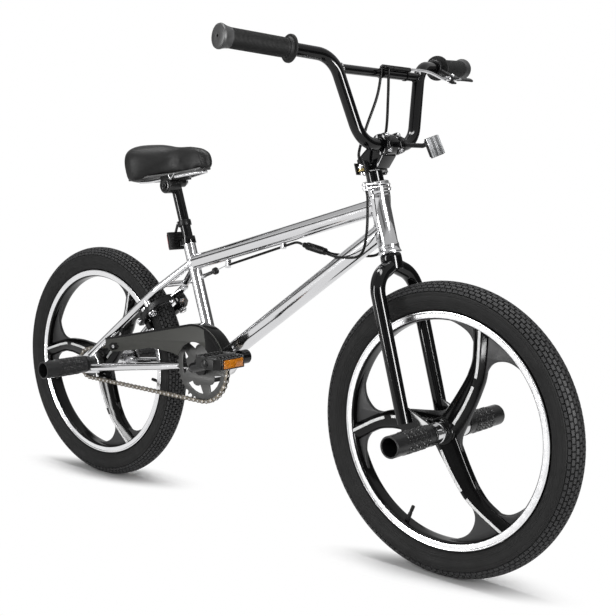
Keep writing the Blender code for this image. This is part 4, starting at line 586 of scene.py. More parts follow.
def rayKinds(tree):  # what the camera, mirrors and clear pieces see
    path = addNode(tree, "LightPath")
    seen = path.outputs["Is Camera Ray"]
    for kind in ("Is Glossy Ray", "Is Transmission Ray"):
        seen = addNode(tree, "Math", {0: seen, 1: path.outputs[kind]}, operation="MAXIMUM").outputs[0]
    return seen


def floorFinish():  # keeps the shadow near the bike and runs out to plain white
    finish, tree, shader = startFinish("paleFloor", (stageLook["floor"],) * 3, 0.9, specular=0.0)
    lift = addNode(tree, "BsdfDiffuse", {"Color": (*(stageLook["shownGain"],) * 3, 1)})
    both = addNode(tree, "AddShader", {0: shader.outputs[0], 1: lift.outputs[0]})
    white = addNode(tree, "Emission", {"Strength": 1.0})
    place = addNode(tree, "TexCoord").outputs["Object"]
    reaches = []
    for axle in (rearAxle, frontAxle):  # an oval round each tyre's foot keeps the shadow
        oval = addNode(tree, "Mapping", {
            "Vector": place, "Location": (axle.x, 0, 0), "Rotation": (0, 0, math.radians(stageLook["lean"])),
            "Scale": (*stageLook["zone"], 1)}, vector_type="TEXTURE")
        reach = addNode(tree, "VectorMath", {0: oval.outputs["Vector"]}, operation="LENGTH")
        reaches.append(reach.outputs["Value"])
    nearest = addNode(tree, "Math", {0: reaches[0], 1: reaches[1]}, operation="MINIMUM")
    start, end = stageLook["fade"]
    fade = addNode(tree, "MapRange", {"Value": nearest.outputs[0], "From Min": start, "From Max": end},
                   interpolation_type="SMOOTHSTEP")
    near = addNode(tree, "MixShader", {0: fade.outputs["Result"], 1: both.outputs[0], 2: white.outputs[0]})
    shown = addNode(tree, "MixShader", {0: rayKinds(tree), 1: shader.outputs[0], 2: near.outputs[0]})
    tree.links.new(shown.outputs[0], tree.nodes["Material Output"].inputs["Surface"])
    return finish


def makeStage():
    work = bmesh.new()
    bmesh.ops.create_grid(work, x_segments=1, y_segments=1, size=stageLook["size"])
    floor = asObject("studioFloor", asMesh(work, "studioFloor"))
    floor.data.materials.append(floorFinish())
    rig.stage(floor)
    scene.world = bpy.data.worlds.new("studio")
    scene.world.use_nodes = True
    tree = scene.world.node_tree
    light = tree.nodes["Background"]
    light.inputs["Color"].default_value = (1, 1, 1, 1)
    light.inputs["Strength"].default_value = stageLook["worldLight"]
    shown = addNode(tree, "Background", {"Color": (1, 1, 1, 1), "Strength": 1.0})
    mix = addNode(tree, "MixShader", {0: rayKinds(tree), 1: light.outputs[0], 2: shown.outputs[0]})
    tree.links.new(mix.outputs[0], tree.nodes["World Output"].inputs["Surface"])


def softbox(name, place, aim, size, power, inMirrors=True):
    lamp = bpy.data.lights.new(name, "AREA")
    lamp.shape = "RECTANGLE"
    lamp.size, lamp.size_y = size
    lamp.energy = power
    holder = asObject(name, lamp)
    away = Vector(place) - Vector(aim)
    holder.matrix_world = placeAlong(Vector(place), away, zAxis.cross(away) + Vector((1e-4, 0, 0)))
    holder.visible_glossy = inMirrors
    return holder


def strip(name, azimuth, reach, low, high, width, power):  # upright lamp that only draws the long streaks
    middle = (low + high) / 2
    softbox(name, (*polar(reach, azimuth), middle), (0, 0, middle), (width, high - low), power).visible_diffuse = False


def showBoard(work, name, tone):  # dark board, seen only in the bright and glossy pieces
    finish, tree, shader = startFinish(name, (0, 0, 0), 1.0, specular=0.0)
    shader.inputs["Emission Color"].default_value = (tone, tone, tone, 1)
    shader.inputs["Emission Strength"].default_value = 1.0
    board = asObject(name, asMesh(work, name))
    board.data.materials.append(finish)
    board.visible_camera = board.visible_diffuse = board.visible_shadow = board.visible_transmission = False
    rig.stage(board)


def card(name, azimuth, reach, low, high, tone):
    start, end = azimuth
    work = bmesh.new()
    foot, top = (work.verts.new((*polar(reach, start), height)) for height in (low, high))
    edge = work.edges.new((foot, top))
    spinRound(work, [foot, top, edge], zAxis, math.radians(end - start), 16)
    showBoard(work, name, tone)


def ceiling(name, reach, height, tone):
    work = bmesh.new()
    bmesh.ops.create_circle(work, cap_ends=True, segments=48, radius=reach, matrix=Matrix.Translation((0, 0, height)))
    showBoard(work, name, tone)


makeStage()
softbox("overhead", (0.0, 0.0, 2.9), (0, 0, 0.3), (2.8, 0.5), 78)
softbox("keySide", (1.2, -3.0, 1.9), (0, 0, 0.4), (1.4, 1.4), 34, False)
strip("frontStrip", -8, 2.5, 0.02, 1.9, 0.48, 125)
strip("sideStrip", -110, 2.5, 0.02, 1.9, 0.36, 62)
ceiling("ceilingBoard", 3.4, 3.6, 0.58)
for name, azimuth, reach, low, high, tone in (
    ("skyBoard", (-180, 180), 3.4, 1.9, 3.6, 0.58), ("cameraBoard", (-102, -15), 2.7, 0.0, 2.2, 0.36),
    ("lensBoard", (-60, -44), 2.6, 0.0, 1.9, 0.12), ("lowBoard", (-160, -122), 2.7, 0.8, 1.45, 0.08),
    ("highBoard", (118, 170), 2.7, 1.7, 2.6, 0.1), ("frontBoard", (8, 106), 2.9, 0.0, 1.7, 0.1),
    ("rearBoard", (157, 196), 2.9, 0.0, 1.7, 0.14),
):
    card(name, azimuth, reach, low, high, tone)

cameraFit = {"place": (1.4874, -1.5612, 0.7156), "azimuth": 40.7044, "rise": 7.5673, "roll": 0.9411, "lens": 63.7}


def makeCamera():
    turn, rise, roll = (math.radians(cameraFit[key]) for key in ("azimuth", "rise", "roll"))
    back = Vector((math.sin(turn) * math.cos(rise), -math.cos(turn) * math.cos(rise), math.sin(rise)))
    right = Vector((math.cos(turn), math.sin(turn), 0))
    up = back.cross(right)
    rolledRight = right * math.cos(roll) + up * math.sin(roll)
    rolledUp = up * math.cos(roll) - right * math.sin(roll)
    view = bpy.data.cameras.new("photoView")
    view.lens = cameraFit["lens"]
    view.sensor_width = 36
    scene.camera = asObject("photoView", view)
    matrix = Matrix((rolledRight, rolledUp, back)).transposed().to_4x4()
    matrix.translation = Vector(cameraFit["place"])
    scene.camera.matrix_world = matrix


makeCamera()
print("stage ready")

# tyres
tyreShape = {"radius": 0.26, "section": 0.0265, "seat": 0.2098, "tread": 0.0032, "spread": 1.12, "fade": 0.1,
             "lines": (1.3, 1.42, 1.86, 1.98, 2.1, 2.22), "lineWide": 0.045, "lineDeep": 0.0005, "profile": 112,
             "steps": 132, "rows": 9, "rowShare": 0.93, "blocks": 132, "blockWide": 0.0058, "blockLong": 0.0106}


def makeTyre(word, axle):
    shape = tyreShape
    section, tread, spread = shape["section"], shape["tread"], shape["spread"]
    middle = shape["radius"] - section
    edge = math.acos((shape["seat"] - middle) / section)
    profile = []
    for step in range(shape["profile"] + 1):
        angle = edge * (1 - 2 * step / shape["profile"])
        inTread = min(1.0, max(0.0, (spread + shape["fade"] - abs(angle)) / shape["fade"]))
        reach = section - tread * inTread
        if any(low < abs(angle) < low + shape["lineWide"] for low in shape["lines"]):  # moulded lines
            reach -= shape["lineDeep"]
        profile.append((middle + reach * math.cos(angle), reach * math.sin(angle)))
    work = bmesh.new()
    spun(work, axle, yAxis, shape["steps"], profile)
    blocks = bmesh.new()
    pitch = math.tau / shape["blocks"]
    reach = section - tread / 2
    size = Matrix.Diagonal((tread * 1.1, shape["blockWide"], shape["blockLong"], 1))
    for row in range(shape["rows"]):
        angle = spread * (2 * row / (shape["rows"] - 1) - 1) * shape["rowShare"]
        block = bmesh.ops.create_cube(blocks, size=1, matrix=size)["verts"]
        bmesh.ops.scale(blocks, vec=(1, 0.84, 0.86), verts=[vert for vert in block if vert.co.x > 0])
        turn = Matrix.Rotation(pitch / 2 * (row % 2), 4, "Y")
        spot = moved(turn, middle + reach * math.cos(angle), reach * math.sin(angle), 0)
        bmesh.ops.transform(blocks, matrix=spot @ Matrix.Rotation(angle, 4, "Z"), verts=block)
    spinRound(blocks, blocks.verts[:] + blocks.edges[:] + blocks.faces[:], yAxis, math.tau - pitch,
              shape["blocks"] - 1, duplicate=True)
    bmesh.ops.recalc_face_normals(blocks, faces=blocks.faces)
    bmesh.ops.translate(blocks, vec=axle, verts=blocks.verts)
    takeWork(work, blocks, 1)
    dress(work, word + "Tyre", [tyreRubber, treadRubber], word + "_tyre")


makeTyre("front", frontAxle)
makeTyre("rear", rearAxle)
print("tyres ready")

# wheels, sizes are each spoke's broad side, steep side and height along its ridge
wheelShape = {"web": 0.0085, "rounding": 0.0016, "inner": 0.194, "outer": 0.196, "valve": 0.164,
              "silver": (0.1969, 0.0152), "stripes": ((1.0, 3.02), (3.85, 6.98)), "stripeHalf": 0.0026, "perSpan": 6,
              "opening": mm((33, -11), (39, -37), (62, -78), (87, -109.5), (112, -123.7), (139, -119.6)),
              "openingEnd": mm((126, 133), (94, 131), (77, 111), (66, 69), (45, 19.5)),
              "ridge": mm((6, -12, 0), (26, 18, 0), (45, 51, 0), (61, 88, 0), (66, 106, 0), (68.5, 130, 0),
                          (69, 158, 0), (69, 194.8, 0)),
              "sizes": mm((30, 12, 18.2), (30.5, 12.5, 18), (28.5, 11.8, 17.2), (24, 10.5, 16.5), (22, 10.3, 16.3),
                          (17.8, 10.3, 16), (17.2, 10.8, 15.6), (18.5, 12.5, 15))}


def turnedPoint(point, turn):
    cos, sin = math.cos(turn), math.sin(turn)
    return Vector((cos * point[0] - sin * point[1], sin * point[0] + cos * point[1]))


def makeSpoke(work, axle, turn):  # broad crowned side, flat ridge with the white stripe, steep side
    shape = wheelShape
    line, sizes = (smoothRoute(shape[key], shape["perSpan"]) for key in ("ridge", "sizes"))
    half = shape["stripeHalf"]
    stations = []
    for index, (spot, (broad, steep, tall)) in enumerate(zip(line, sizes)):
        ahead = (line[min(index + 1, len(line) - 1)] - line[max(index - 1, 0)]).normalized()
        left = Vector((-ahead.y, ahead.x, 0))
        section = [(broad, 0.0036), (broad - 0.0006, 0.0066), (broad - 0.0026, 0.0086), (broad * 0.62, tall * 0.76),
                   (broad * 0.3, tall * 0.925), (half + 0.0004, tall), (half, tall + 0.0003), (-half, tall + 0.0003),
                   (-half - 0.0004, tall), (-half - 0.0022, tall - 0.0022), (-steep + 0.0016, 0.0072),
                   (-steep + 0.0004, 0.0056), (-steep, 0.0036)]
        ring = []
        for reach, high in bothSides(section):
            flat = turnedPoint(spot + left * reach, turn)
            ring.append(axle + Vector((flat.x, -high, flat.y)))
        stations.append(ring)

    def paint(index, number):
        share = (index + 0.5) / shape["perSpan"]
        striped = any(low < share < high for low, high in shape["stripes"])
        return 3 if striped and number in (6, 18) else 0
    loft(work, stations, paint)


def makeWheel(word, axle, turn, valve):
    shape = wheelShape
    work = bmesh.new()
    spun(work, axle, yAxis, 160, bothSides(mm(
        (193.8, 3), (193.8, 9.2), (194.4, 12.6), (195.6, 14.8), (196.6, 15.8), (197.2, 16.4), (198, 16.7), (204.6, 16),
        (205.6, 16.2), (206.6, 17.2), (208, 17.4), (209, 16.8), (209.4, 15))))
    for face in work.faces:
        spot = face.calc_center_median() - axle
        if math.hypot(spot.x, spot.z) > shape["silver"][0] and abs(spot.y) > shape["silver"][1]:
            face.material_index = 1
    turns = [math.radians(turn) + math.tau / 3 * n for n in range(3)]
    outline = shape["opening"] + arc(shape["inner"], -28, 34, 4) + shape["openingEnd"]
    loop = smoothRoute([(*p, 0) for p in outline], 8, closed=True)
    openings = [[turnedPoint(p, t) for p in loop] for t in turns]
    plate(work, [circle(shape["outer"], 160), *openings], shape["web"], shape["rounding"], sidePlane(axle), 2)
    for t in turns:
        makeSpoke(work, axle, t)
    spun(work, axle, yAxis, 64, bothSides(mm(
        (7.5, -18.9), (20.5, -18.9), (22.5, -18.3), (24.2, -16.5), (25.2, -12.5), (26.2, -4))))
    out = slopeAt(valve)
    spun(work, axle + shape["valve"] * out, out, 20, mm(
        (0, 0), (3.2, 0), (3.4, 0.8), (3.4, 10.5), (2.8, 11.2), (2.8, 12.5), (3.6, 15), (4.4, 30), (0, 30)), 4)
    dress(work, word + "Wheel", [wheelBlack, rimSilver, webGrey, stripeWhite, blackPlastic], word + "_wheel", 40)


makeWheel("front", frontAxle, 0, -113)
makeWheel("rear", rearAxle, -11, -7)
print("wheels ready")

# frame
frameTubes = {"head": 0.018, "seat": 0.0132, "shell": 0.028, "top": 0.016, "down": 0.0172, "seatStay": 0.008,
              "chainStay": 0.0085, "bridge": 0.006, "headLow": 0.3333, "headHigh": 0.4288, "stayBend": 0.06,
              "dropHalf": 0.0577, "slot": 7.3, "bossOut": 0.25, "bossHalf": 0.043}
topSeat = bbCentre + 0.216 * seatUp
topHead = steerAt(frameTubes["headHigh"] - 0.0185)
cableGuide = bbCentre + 0.1815 * seatUp
guideLean = slopeAt(21)


def weldLine(start, along, radius, onPoint, onAlong, onRadius, count=72):
    along, onAlong = along.normalized(), onAlong.normalized()
    first = along.orthogonal().normalized()
    second = along.cross(first)
    line = []
    for across, up in circle(radius, count):
        base = start + across * first + up * second
        off = base - onPoint
        off -= onAlong * off.dot(onAlong)
        go = along - onAlong * along.dot(onAlong)
        a, b, c = go.dot(go), 2 * off.dot(go), off.dot(off) - onRadius**2
        inside = b * b - 4 * a * c
        reach = (-b + math.sqrt(inside)) / (2 * a) if inside > 0 else -b / (2 * a)
        line.append(base + reach * along)
    return line


def weld(work, *line):
    bar(work, weldLine(*line), 0.0017, 8, 0, lambda s: 1 + 0.16 * math.sin(s * math.tau * 40), closed=True)


def makeFrame():
    shape = frameTubes
    head, top, down, seat, shell = (shape[key] for key in ("head", "top", "down", "seat", "shell"))
    work = bmesh.new()
    low, downHead = steerAt(shape["headLow"]), steerAt(shape["headLow"] + 0.034)
    spun(work, low, steerUp, 64, mm((15.2, 0), (18.6, 0), (19, 1), (19, 6), (18, 7.5), (18, 88), (19, 89.5), (19, 94.5),
                                    (18.6, 95.5), (15.2, 95.5)))
    spun(work, bbCentre, seatUp, 48, mm((11.2, 30), (13.2, 0), (13.2, 264.3), (11.6, 264.3), (11.6, 200)))
    spun(work, bbCentre, yAxis, 64, bothSides(mm((25.3, -34), (27.2, -34), (28, -33))))
    bar(work, [topSeat, topHead], top, 56)
    bar(work, [bbCentre, downHead], down, 56)
    weld(work, topHead, topSeat - topHead, top, low, steerUp, head)
    weld(work, downHead, bbCentre - downHead, down, low, steerUp, head)
    weld(work, topSeat, topHead - topSeat, top, bbCentre, seatUp, seat)
    weld(work, bbCentre, seatUp, seat, bbCentre, yAxis, shell)
    weld(work, bbCentre, downHead - bbCentre, down, bbCentre, yAxis, shell)
    slot = shape["slot"]
    dropout = mm((48, -14), (52, 8), (36, 36), (18, 34), (-4, 19), (-27, 15.5), (-27, slot), *arc(slot, 90, -90, 16),
                 (-27, -slot), (-27, -15.5), (6, -20))
    for side, word in hands:
        half = side * shape["dropHalf"]
        join = bbCentre + 0.215 * seatUp + side * 0.01 * yAxis
        foot = rearAxle + Vector((0.0207, half, 0.0244))
        bend = foot.lerp(join, 0.72)
        bend.y = side * 0.0405
        bar(work, bentRoute([foot, bend, join], shape["stayBend"]), shape["seatStay"], 32)
        weld(work, join, bend - join, shape["seatStay"], bbCentre, seatUp, seat)
        start, end = rearAxle + Vector((0.03, half, -0.004)), bbCentre + Vector((-0.012, side * 0.0165, -0.001))
        elbow = start.lerp(end, 0.655)
        elbow.y = side * 0.039
        bar(work, bentRoute([start, elbow, end], shape["stayBend"]), shape["chainStay"], 32)
        plate(work, [dropout], 0.0055, 0.0008, sidePlane(rearAxle + side * 0.05775 * yAxis))
        bossLow, bossHigh, nut, tip = (brakeAt(shape["bossOut"], side * shape["bossHalf"], forward)
                                       for forward in (-0.003, 0.017, 0.0295, 0.032))
        bar(work, [bossLow, bossHigh], 0.007, 24)
        bar(work, [bossHigh, tip], 0.004, 16)
        hexNut(work, nut, brakeForward, 0.0062, 0.004)
    bar(work, [brakeAt(0.302, half, -0.003) for half in (-0.037, 0.037)], shape["bridge"], 24)
    bar(work, [cableGuide + 0.024 * guideLean, cableGuide - 0.021 * guideLean], 0.0046, 20)
    for share, drop, tall in ((0.52, 0.0035, 0.014), (0.21, 0.006, 0.02)):  # cable clip and stop
        place = topSeat.lerp(topHead, share) - (top + drop) * zAxis
        brick(work, (0.008, 0.01, tall), Matrix.Translation(place), 0.0014)
    dress(work, "frameTubes", [chromeFinish], "frame", 40)


makeFrame()
print("frame ready")

# headset, each ring's foot along the steering axis, finish and profile
headsetShape = {
    "lowerCup": ("headset_lower_cup", 0.3223, chromeFinish, mm(
        (13.1, 0), (19.8, 0), (20.8, 0.8), (21, 3.4), (20.2, 4.4), (19.6, 6), (19.2, 8), (19, 10.7), (13.1, 10.7))),
    "upperCup": ("headset_upper_cup", 0.4291, chromeFinish, mm(
        (13.1, 0), (19, 0), (19.2, 2.2), (20, 3.8), (20.9, 5), (21, 6.8), (20.3, 7.4), (20.3, 8), (21, 8.6),
        (20.9, 10.4), (20.2, 11), (13.1, 11))),
    "lockNut": ("headset_locknut", 0.4437, blackPaint, mm(
        (13.1, 0), (15.1, 0), (15.5, 0.4), (15.5, 7.6), (15.1, 8), (13.1, 8))),
}
for name, (node, low, finish, profile) in headsetShape.items():
    work = bmesh.new()
    spun(work, steerAt(low), steerUp, 64, profile)
    dress(work, name, [finish], node)

# fork
forkShape = {"leg": 0.0143, "spread": 0.058, "length": 0.322, "rake": 43, "taper": 0.14, "steerer": 0.0127,
             "bend": 0.046, "tip": 19.5}


def makeFork():
    shape = forkShape
    high, spread, rake = shape["length"], shape["spread"], shape["rake"]
    work = bmesh.new()
    bar(work, [steerAt(high - 0.022), steerAt(0.4517)], shape["steerer"], 40)
    spun(work, steerAt(high), steerUp, 48, mm(
        (0, -30), (17.6, -30), (19, -28), (19.2, -6), (18.8, -2), (17.2, 0), (0, 0)))
    tip = [(rake + x, y) for x, y in arc(shape["tip"], 25, -110, 15)]
    dropout = mm((-10, 45), (10, 52), (58.5, 12.5), *tip, (-6, -6), (-11.5, 12))
    for side, word in hands:
        route = bentRoute([steerAt(high - 0.02, 0, side * 0.004), steerAt(high - 0.042, 0, side * spread),
                           steerAt(0.026, 0, side * spread)], shape["bend"], 16)
        last = route.pop()
        route += [route[-1].lerp(last, k / 10) for k in range(1, 11)]
        bar(work, route, shape["leg"], 40, 0, lambda s: 1 - shape["taper"] * s)
        plate(work, [dropout], 0.0055, 0.001, placeAlong(steerFoot + side * 0.05275 * yAxis, -yAxis, steerForward))
    dress(work, "forkBlades", [blackPaint], "fork", 40)


makeFork()

# handlebar and grips
barShape = {"height": 0.5102, "reach": 0.042, "radius": 0.0111, "cross": 0.008, "bend": 0.05,
            "crossShare": 0.126 / 0.1453}


def barAt(rise, half, forward):
    return steerAt(barShape["height"] + rise, barShape["reach"] + forward, half)


def barCorners(side):
    return [barAt(0, 0, 0), barAt(0, side * 0.0755, 0), barAt(0.1453, side * 0.1255, 0.0149),
            barAt(0.1735, side * 0.343, -0.0287)]


def crossEnds():
    return [barCorners(side)[1].lerp(barCorners(side)[2], barShape["crossShare"]) for side, word in hands]


def makeHandlebar():
    shape = barShape
    work = bmesh.new()
    right, left = (bentRoute(barCorners(side), shape["bend"], 14) for side, word in hands)
    bar(work, right[:0:-1] + left[1:], shape["radius"], 36)
    ends = crossEnds()
    bar(work, ends, shape["cross"])
    for (side, word), end, other in zip(hands, ends, ends[::-1]):
        corner = barCorners(side)
        weld(work, end, other - end, shape["cross"], corner[1], corner[2] - corner[1], shape["radius"])
    dress(work, "handlebarTube", [blackPaint], "handlebar", 40)


gripShape = {
    "ribs": 44, "first": -18, "pitch": 2.4,
    "cap": mm((1, -1), (2.4, -1), (2.6, 3.4), (6, 4), (16.5, 3.6), (19.5, 2.2), (20.5, -0.5), (20, -3), (18.4, -7.5),
              (17.4, -12), (16.8, -17), (11.2, -17), (11.2, -1)),
    "flange": mm((11.2, -136), (22.5, -136), (23.5, -135.2), (23.5, -133), (22.5, -132), (19, -131.6), (18, -130),
                 (17.2, -126.2), (11.2, -126.2)),
}


def makeGrip(side, word):
    shape = gripShape
    corner = barCorners(side)
    out = corner[3] - corner[2]
    ribs = []
    for rib in range(shape["ribs"]):
        start = shape["first"] - rib * shape["pitch"]
        ribs += [(16.5, start), (16.5, start - 1.1), (15.8, start - 1.4), (15.8, start - 2.1)]
    sleeve = mm((11.2, -16.5), (15.8, -16.5), *ribs, (16, -126.5), (11.2, -126.5))
    work = bmesh.new()
    spun(work, corner[3], out, 40, sleeve)
    spun(work, corner[3], out, 48, shape["cap"], 1)
    spun(work, corner[3], out, 48, shape["flange"])
    dress(work, word + "Grip", [gripRubber, gripEnd], "grip_" + word)


makeHandlebar()
for side, word in hands:
    makeGrip(side, word)
print("steering ready")

# pegs and hub collars
axleShape = {"front": (frontAxle, 0.1), "rear": (rearAxle, 0.11)}
pegShape = {"radius": 0.019, "rings": 6, "knobs": 11, "knobSteps": 14, "first": 0.0235, "pitch": 0.0098,
            "knobWide": 0.0034, "knobLong": 0.0043, "knobHigh": 0.0009,
            "profile": mm((7.3, 0), (17.8, 0), (19, 1.2), (19, 14), (18.4, 14.6), (18.4, 16), (19, 16.6), (19, 108.8),
                          (18, 110), (16.3, 110), (15.5, 109), (15.5, 8), (7.3, 8))}


def makePeg(word, side, hand):
    shape = pegShape
    axle, spacing = axleShape[word]
    foot, out = axle + side * (spacing / 2 + 0.0058) * yAxis, shape["radius"]
    matrix = placeAlong(foot, side * yAxis)
    work = bmesh.new()
    spun(work, foot, side * yAxis, 56, shape["profile"])
    for ring in range(shape["rings"]):
        for knob in range(shape["knobs"]):  # raised ovals for grip
            turn = math.tau * (knob + 0.5 * (ring % 2)) / shape["knobs"]
            oval = []
            for across, along in circle(1, shape["knobSteps"]):
                around = turn + shape["knobWide"] * across / out
                oval.append(matrix @ Vector((out * math.cos(around), out * math.sin(around), shape["first"]
                                             + shape["pitch"] * ring + shape["knobLong"] * along)))
            bar(work, oval, shape["knobHigh"], 6, closed=True)
    dress(work, word + hand.capitalize() + "Peg", [pegBlack], word + "_peg_" + hand)


def makeCollar(word, side, node):
    axle, spacing = axleShape[word]
    start, end = 19.3, spacing * 1000 / 2 - 0.3
    waist = (start + end) / 2
    work = bmesh.new()
    spun(work, axle, side * yAxis, 48, mm(
        (7.3, start), (18, start), (18.5, start + 0.8), (18.5, waist - 4), (17, waist - 3), (17, waist - 1.2),
        (18.5, waist), (18.5, end - 0.8), (17.8, end), (7.3, end)))
    dress(work, node + "_shown", [chromeFinish], node)


for word in axleShape:
    for side, hand in hands:
        makePeg(word, side, hand)
makeCollar("front", -1, "front_hub_collar_right")
makeCollar("front", 1, "front_hub_collar_left")
makeCollar("rear", 1, "rear_hub_collar")
print("axles ready")

# crank
crankShape = {"angle": 16, "arm": 0.165, "inner": 0.074, "outer": 0.086, "radius": 0.0105, "bend": 0.016}


def makeCrank():
    shape = crankShape
    arm = shape["arm"] * slopeAt(shape["angle"])
    inner, outer = shape["inner"] * yAxis, shape["outer"] * yAxis
    work = bmesh.new()
    corners = [bbCentre - arm + outer, bbCentre + inner, bbCentre - inner, bbCentre + arm - outer]
    bar(work, bentRoute(corners, shape["bend"], 12), shape["radius"], 32)
    bar(work, [bbCentre - 0.0436 * yAxis, bbCentre + 0.0438 * yAxis], 0.0115, 32)
    spun(work, bbCentre, -yAxis, 40, mm((0, 43.6), (17, 43.6), (18, 44.4), (18, 49.6), (17, 50.6), (0, 50.6)))
    for side, word in hands:
        eye = bbCentre - side * arm
        spun(work, eye, side * yAxis, 40, mm((0, 76), (12.6, 76), (13.5, 76.8), (13.5, 95.2), (12.6, 96), (0, 96)))
        hexNut(work, eye + side * 0.096 * yAxis, side * yAxis, 0.0088, 0.007, 1)
        bar(work, [eye + side * 0.102 * yAxis, eye + side * 0.1895 * yAxis], 0.006, 20, 1)
    dress(work, "crankArms", [blackPaint, boltBlack], "crank", 40)


makeCrank()

# rotor
rotorShape = {"lower": 0.4404, "bearing": 0.4447, "upper": 0.4702, "ear": 0.032, "earRadius": 0.0065, "radius": 0.0205,
              "plate": 0.003, "rounding": 0.0006, "barrel": 0.016}


def earedOutline(steps=14):
    reach, ear, radius = (rotorShape[key] for key in ("ear", "earRadius", "radius"))
    lean = math.degrees(math.asin((radius - ear) / reach))
    outline = []
    for turn, centre in ((0, reach), (180, -reach)):
        outline += [(centre + x, y) for x, y in arc(ear, turn - 90 + lean, turn + 90 - lean, steps)]
        outline += arc(radius, turn + 90 - lean, turn + 90 + lean, steps)
    return outline


def rotorPlate(low, bore, thickness=rotorShape["plate"]):
    work = bmesh.new()
    plate(work, [earedOutline(), circle(bore, 40)], thickness, rotorShape["rounding"],
          placeAlong(steerAt(low), steerUp, yAxis))
    return work, [(side, steerAt(low, 0, side * rotorShape["ear"])) for side, word in hands]


def makeRotor():
    shape = rotorShape
    work, ears = rotorPlate(shape["lower"] + 0.0015, 0.0132)
    for side, ear in ears:
        spun(work, ear, steerUp, 20, mm((2.8, -4.5), (4.8, -4.5), (5.2, -3.5), (5.2, 1.5), (2.8, 1.5)))
    dress(work, "rotorLowerPlate", [chromeFinish], "rotor_lower_plate")
    work, ears = rotorPlate(shape["bearing"] + 0.004, 0.0164, 0.0026)
    spun(work, steerAt(shape["bearing"]), steerUp, 64, mm(
        (16.2, 0), (21.2, 0), (22.8, 0.9), (23.5, 2.4), (22.8, 3.6), (21.4, 4), (22.8, 4.6), (23.4, 5.8), (22.6, 7.2),
        (20.8, 8), (16.2, 8)))
    for side, ear in ears:
        spun(work, ear - 0.0024 * steerUp, steerUp, 20, mm(
            (0, -1.6), (4.6, -1.6), (5, -1), (5, 5.6), (4.4, 6.6), (0, 6.6)))
    dress(work, "rotorBearing", [chromeFinish], "rotor_bearing")
    work, ears = rotorPlate(shape["upper"] + 0.0015, 0.0157)
    for side, ear in ears:
        spot = ear + 0.0015 * steerUp
        barrelSlot, nutSlot, broad = (1, 2, 1.35) if side < 0 else (0, 0, 1.0)
        spun(work, spot, steerUp, 24, mm((2.6, -6), (4 * broad, -6), (4.2 * broad, 7.8), (3.6 * broad, 8.6),
                                         (3.6 * broad, 12.8), (2.6, 13)), barrelSlot)
        hexNut(work, spot, steerUp, 0.0062 * broad, 0.004, nutSlot)
        spun(work, spot, steerUp, 24, mm((2.6, 5.8), (5.2 * broad, 5.8), (5.6 * broad, 6.4), (5.6 * broad, 8.8),
                                         (5.2 * broad, 9.4), (2.6, 9.4)), barrelSlot)
        if side < 0:  # guard plates of the adjusters
            for shift in (-0.0105, 0.0105):
                brick(work, (0.0022, 0.012, 0.021), moved(placeAlong(spot, steerUp), shift, 0, 0.0065), 0.0008)
    dress(work, "rotorUpperPlate", [boltBlack, brightSteel, brassFinish], "rotor_upper_plate")


makeRotor()

# stem
stemShape = {"boltHalf": 0.0165, "boltRise": 0.0135, "boltForward": 0.0098, "capDrop": 0.0085, "edge": 0.0022,
             "faceEdge": 0.0012}


def makeStem():
    shape = stemShape
    work = bevelledNode("stem", shape["edge"], segments=3)
    top, lean = steerAt(barShape["height"] - shape["capDrop"]), steerUp * 0.97 - steerForward * 0.45
    spun(work, top, lean, 40, mm(
        (0, -4), (11.2, -4), (11.6, 1.2), (10.8, 3), (5.8, 3.6), (5, 3.6), (4.6, 0.6), (0, 0.6)))
    capScrew(work, top + lean * 0.0008, lean, 0.0042, 0.003, 1)
    dress(work, "stemBody", [blackPaint, brightSteel], "stem")
    work = bevelledNode("stem_face_plate", shape["faceEdge"])
    for side, word in hands:
        middle = barAt(0, side * shape["boltHalf"], 0)
        for rise in (-shape["boltRise"], shape["boltRise"]):
            seat = middle + rise * steerUp + shape["boltForward"] * steerForward
            spun(work, seat, steerForward, 24, mm((0, -6), (5.6, -6), (5.6, 2.6), (5, 3.4), (0, 3.4)))
            capScrew(work, seat + 0.0034 * steerForward, steerForward, 0.004, 0.0036, 1)
        brick(work, (0.004, 0.01, 0.02), placeAlong(middle + 0.0172 * steerForward, steerUp, steerForward), 0.0014)
    dress(work, "stemFacePlate", [blackPaint, brightSteel], "stem_face_plate")


makeStem()
print("stem ready")

# front reflector, each band's place across, width, lean and slot; the slot picks the lit or the shaded copy of the
# clear lens, a painted reflection
lensShape = {"bands": ((-0.015, 0.01, -9, 0), (-0.0055, 0.0078, 7, 1), (0.0025, 0.007, -4, 0),
                       (0.0108, 0.0084, 9, 1), (0.0175, 0.005, -6, 0))}


def makeFrontReflector():
    tilt = Matrix.Rotation(math.radians(-19), 4, "Y") @ Matrix.Rotation(math.radians(13), 4, "X")
    spot = Matrix.Translation(barAt(0, 0.0325, 0) + Vector((0.0655, 0.0175, -0.0015))) @ tilt
    work = bmesh.new()
    brick(work, (0.003, 0.042, 0.036), moved(spot, -0.0015, 0, 0), 0.0008, 2)
    for across, wide, lean, slot in lensShape["bands"]:
        turned = moved(spot, 0.0012, across, 0) @ Matrix.Rotation(math.radians(lean), 4, "Z")
        # alternate bands take the lit or the shaded lens copy: painted reflection
        brick(work, (0.003, wide, 0.0345), turned, 0.0004, slot)
    dress(work, "frontLens", [litLensBands, shadedLensBands, blackPlastic], "front_reflector")


makeFrontReflector()

# brake lever and cables
leverShape = {"onBar": 0.15, "reach": 0.04, "boltHalf": 0.0068, "wide": 0.0052, "waist": 0.0012, "thick": 0.0027,
              "coated": 15, "blade": mm((-2, 0), (20, 3), (45, 2), (75, 3), (98, 5))}
cableShape = {"housing": 0.0025, "wire": 0.001, "wrap": 0.0042, "wrapShares": (0.5, 0.84), "turns": 30}


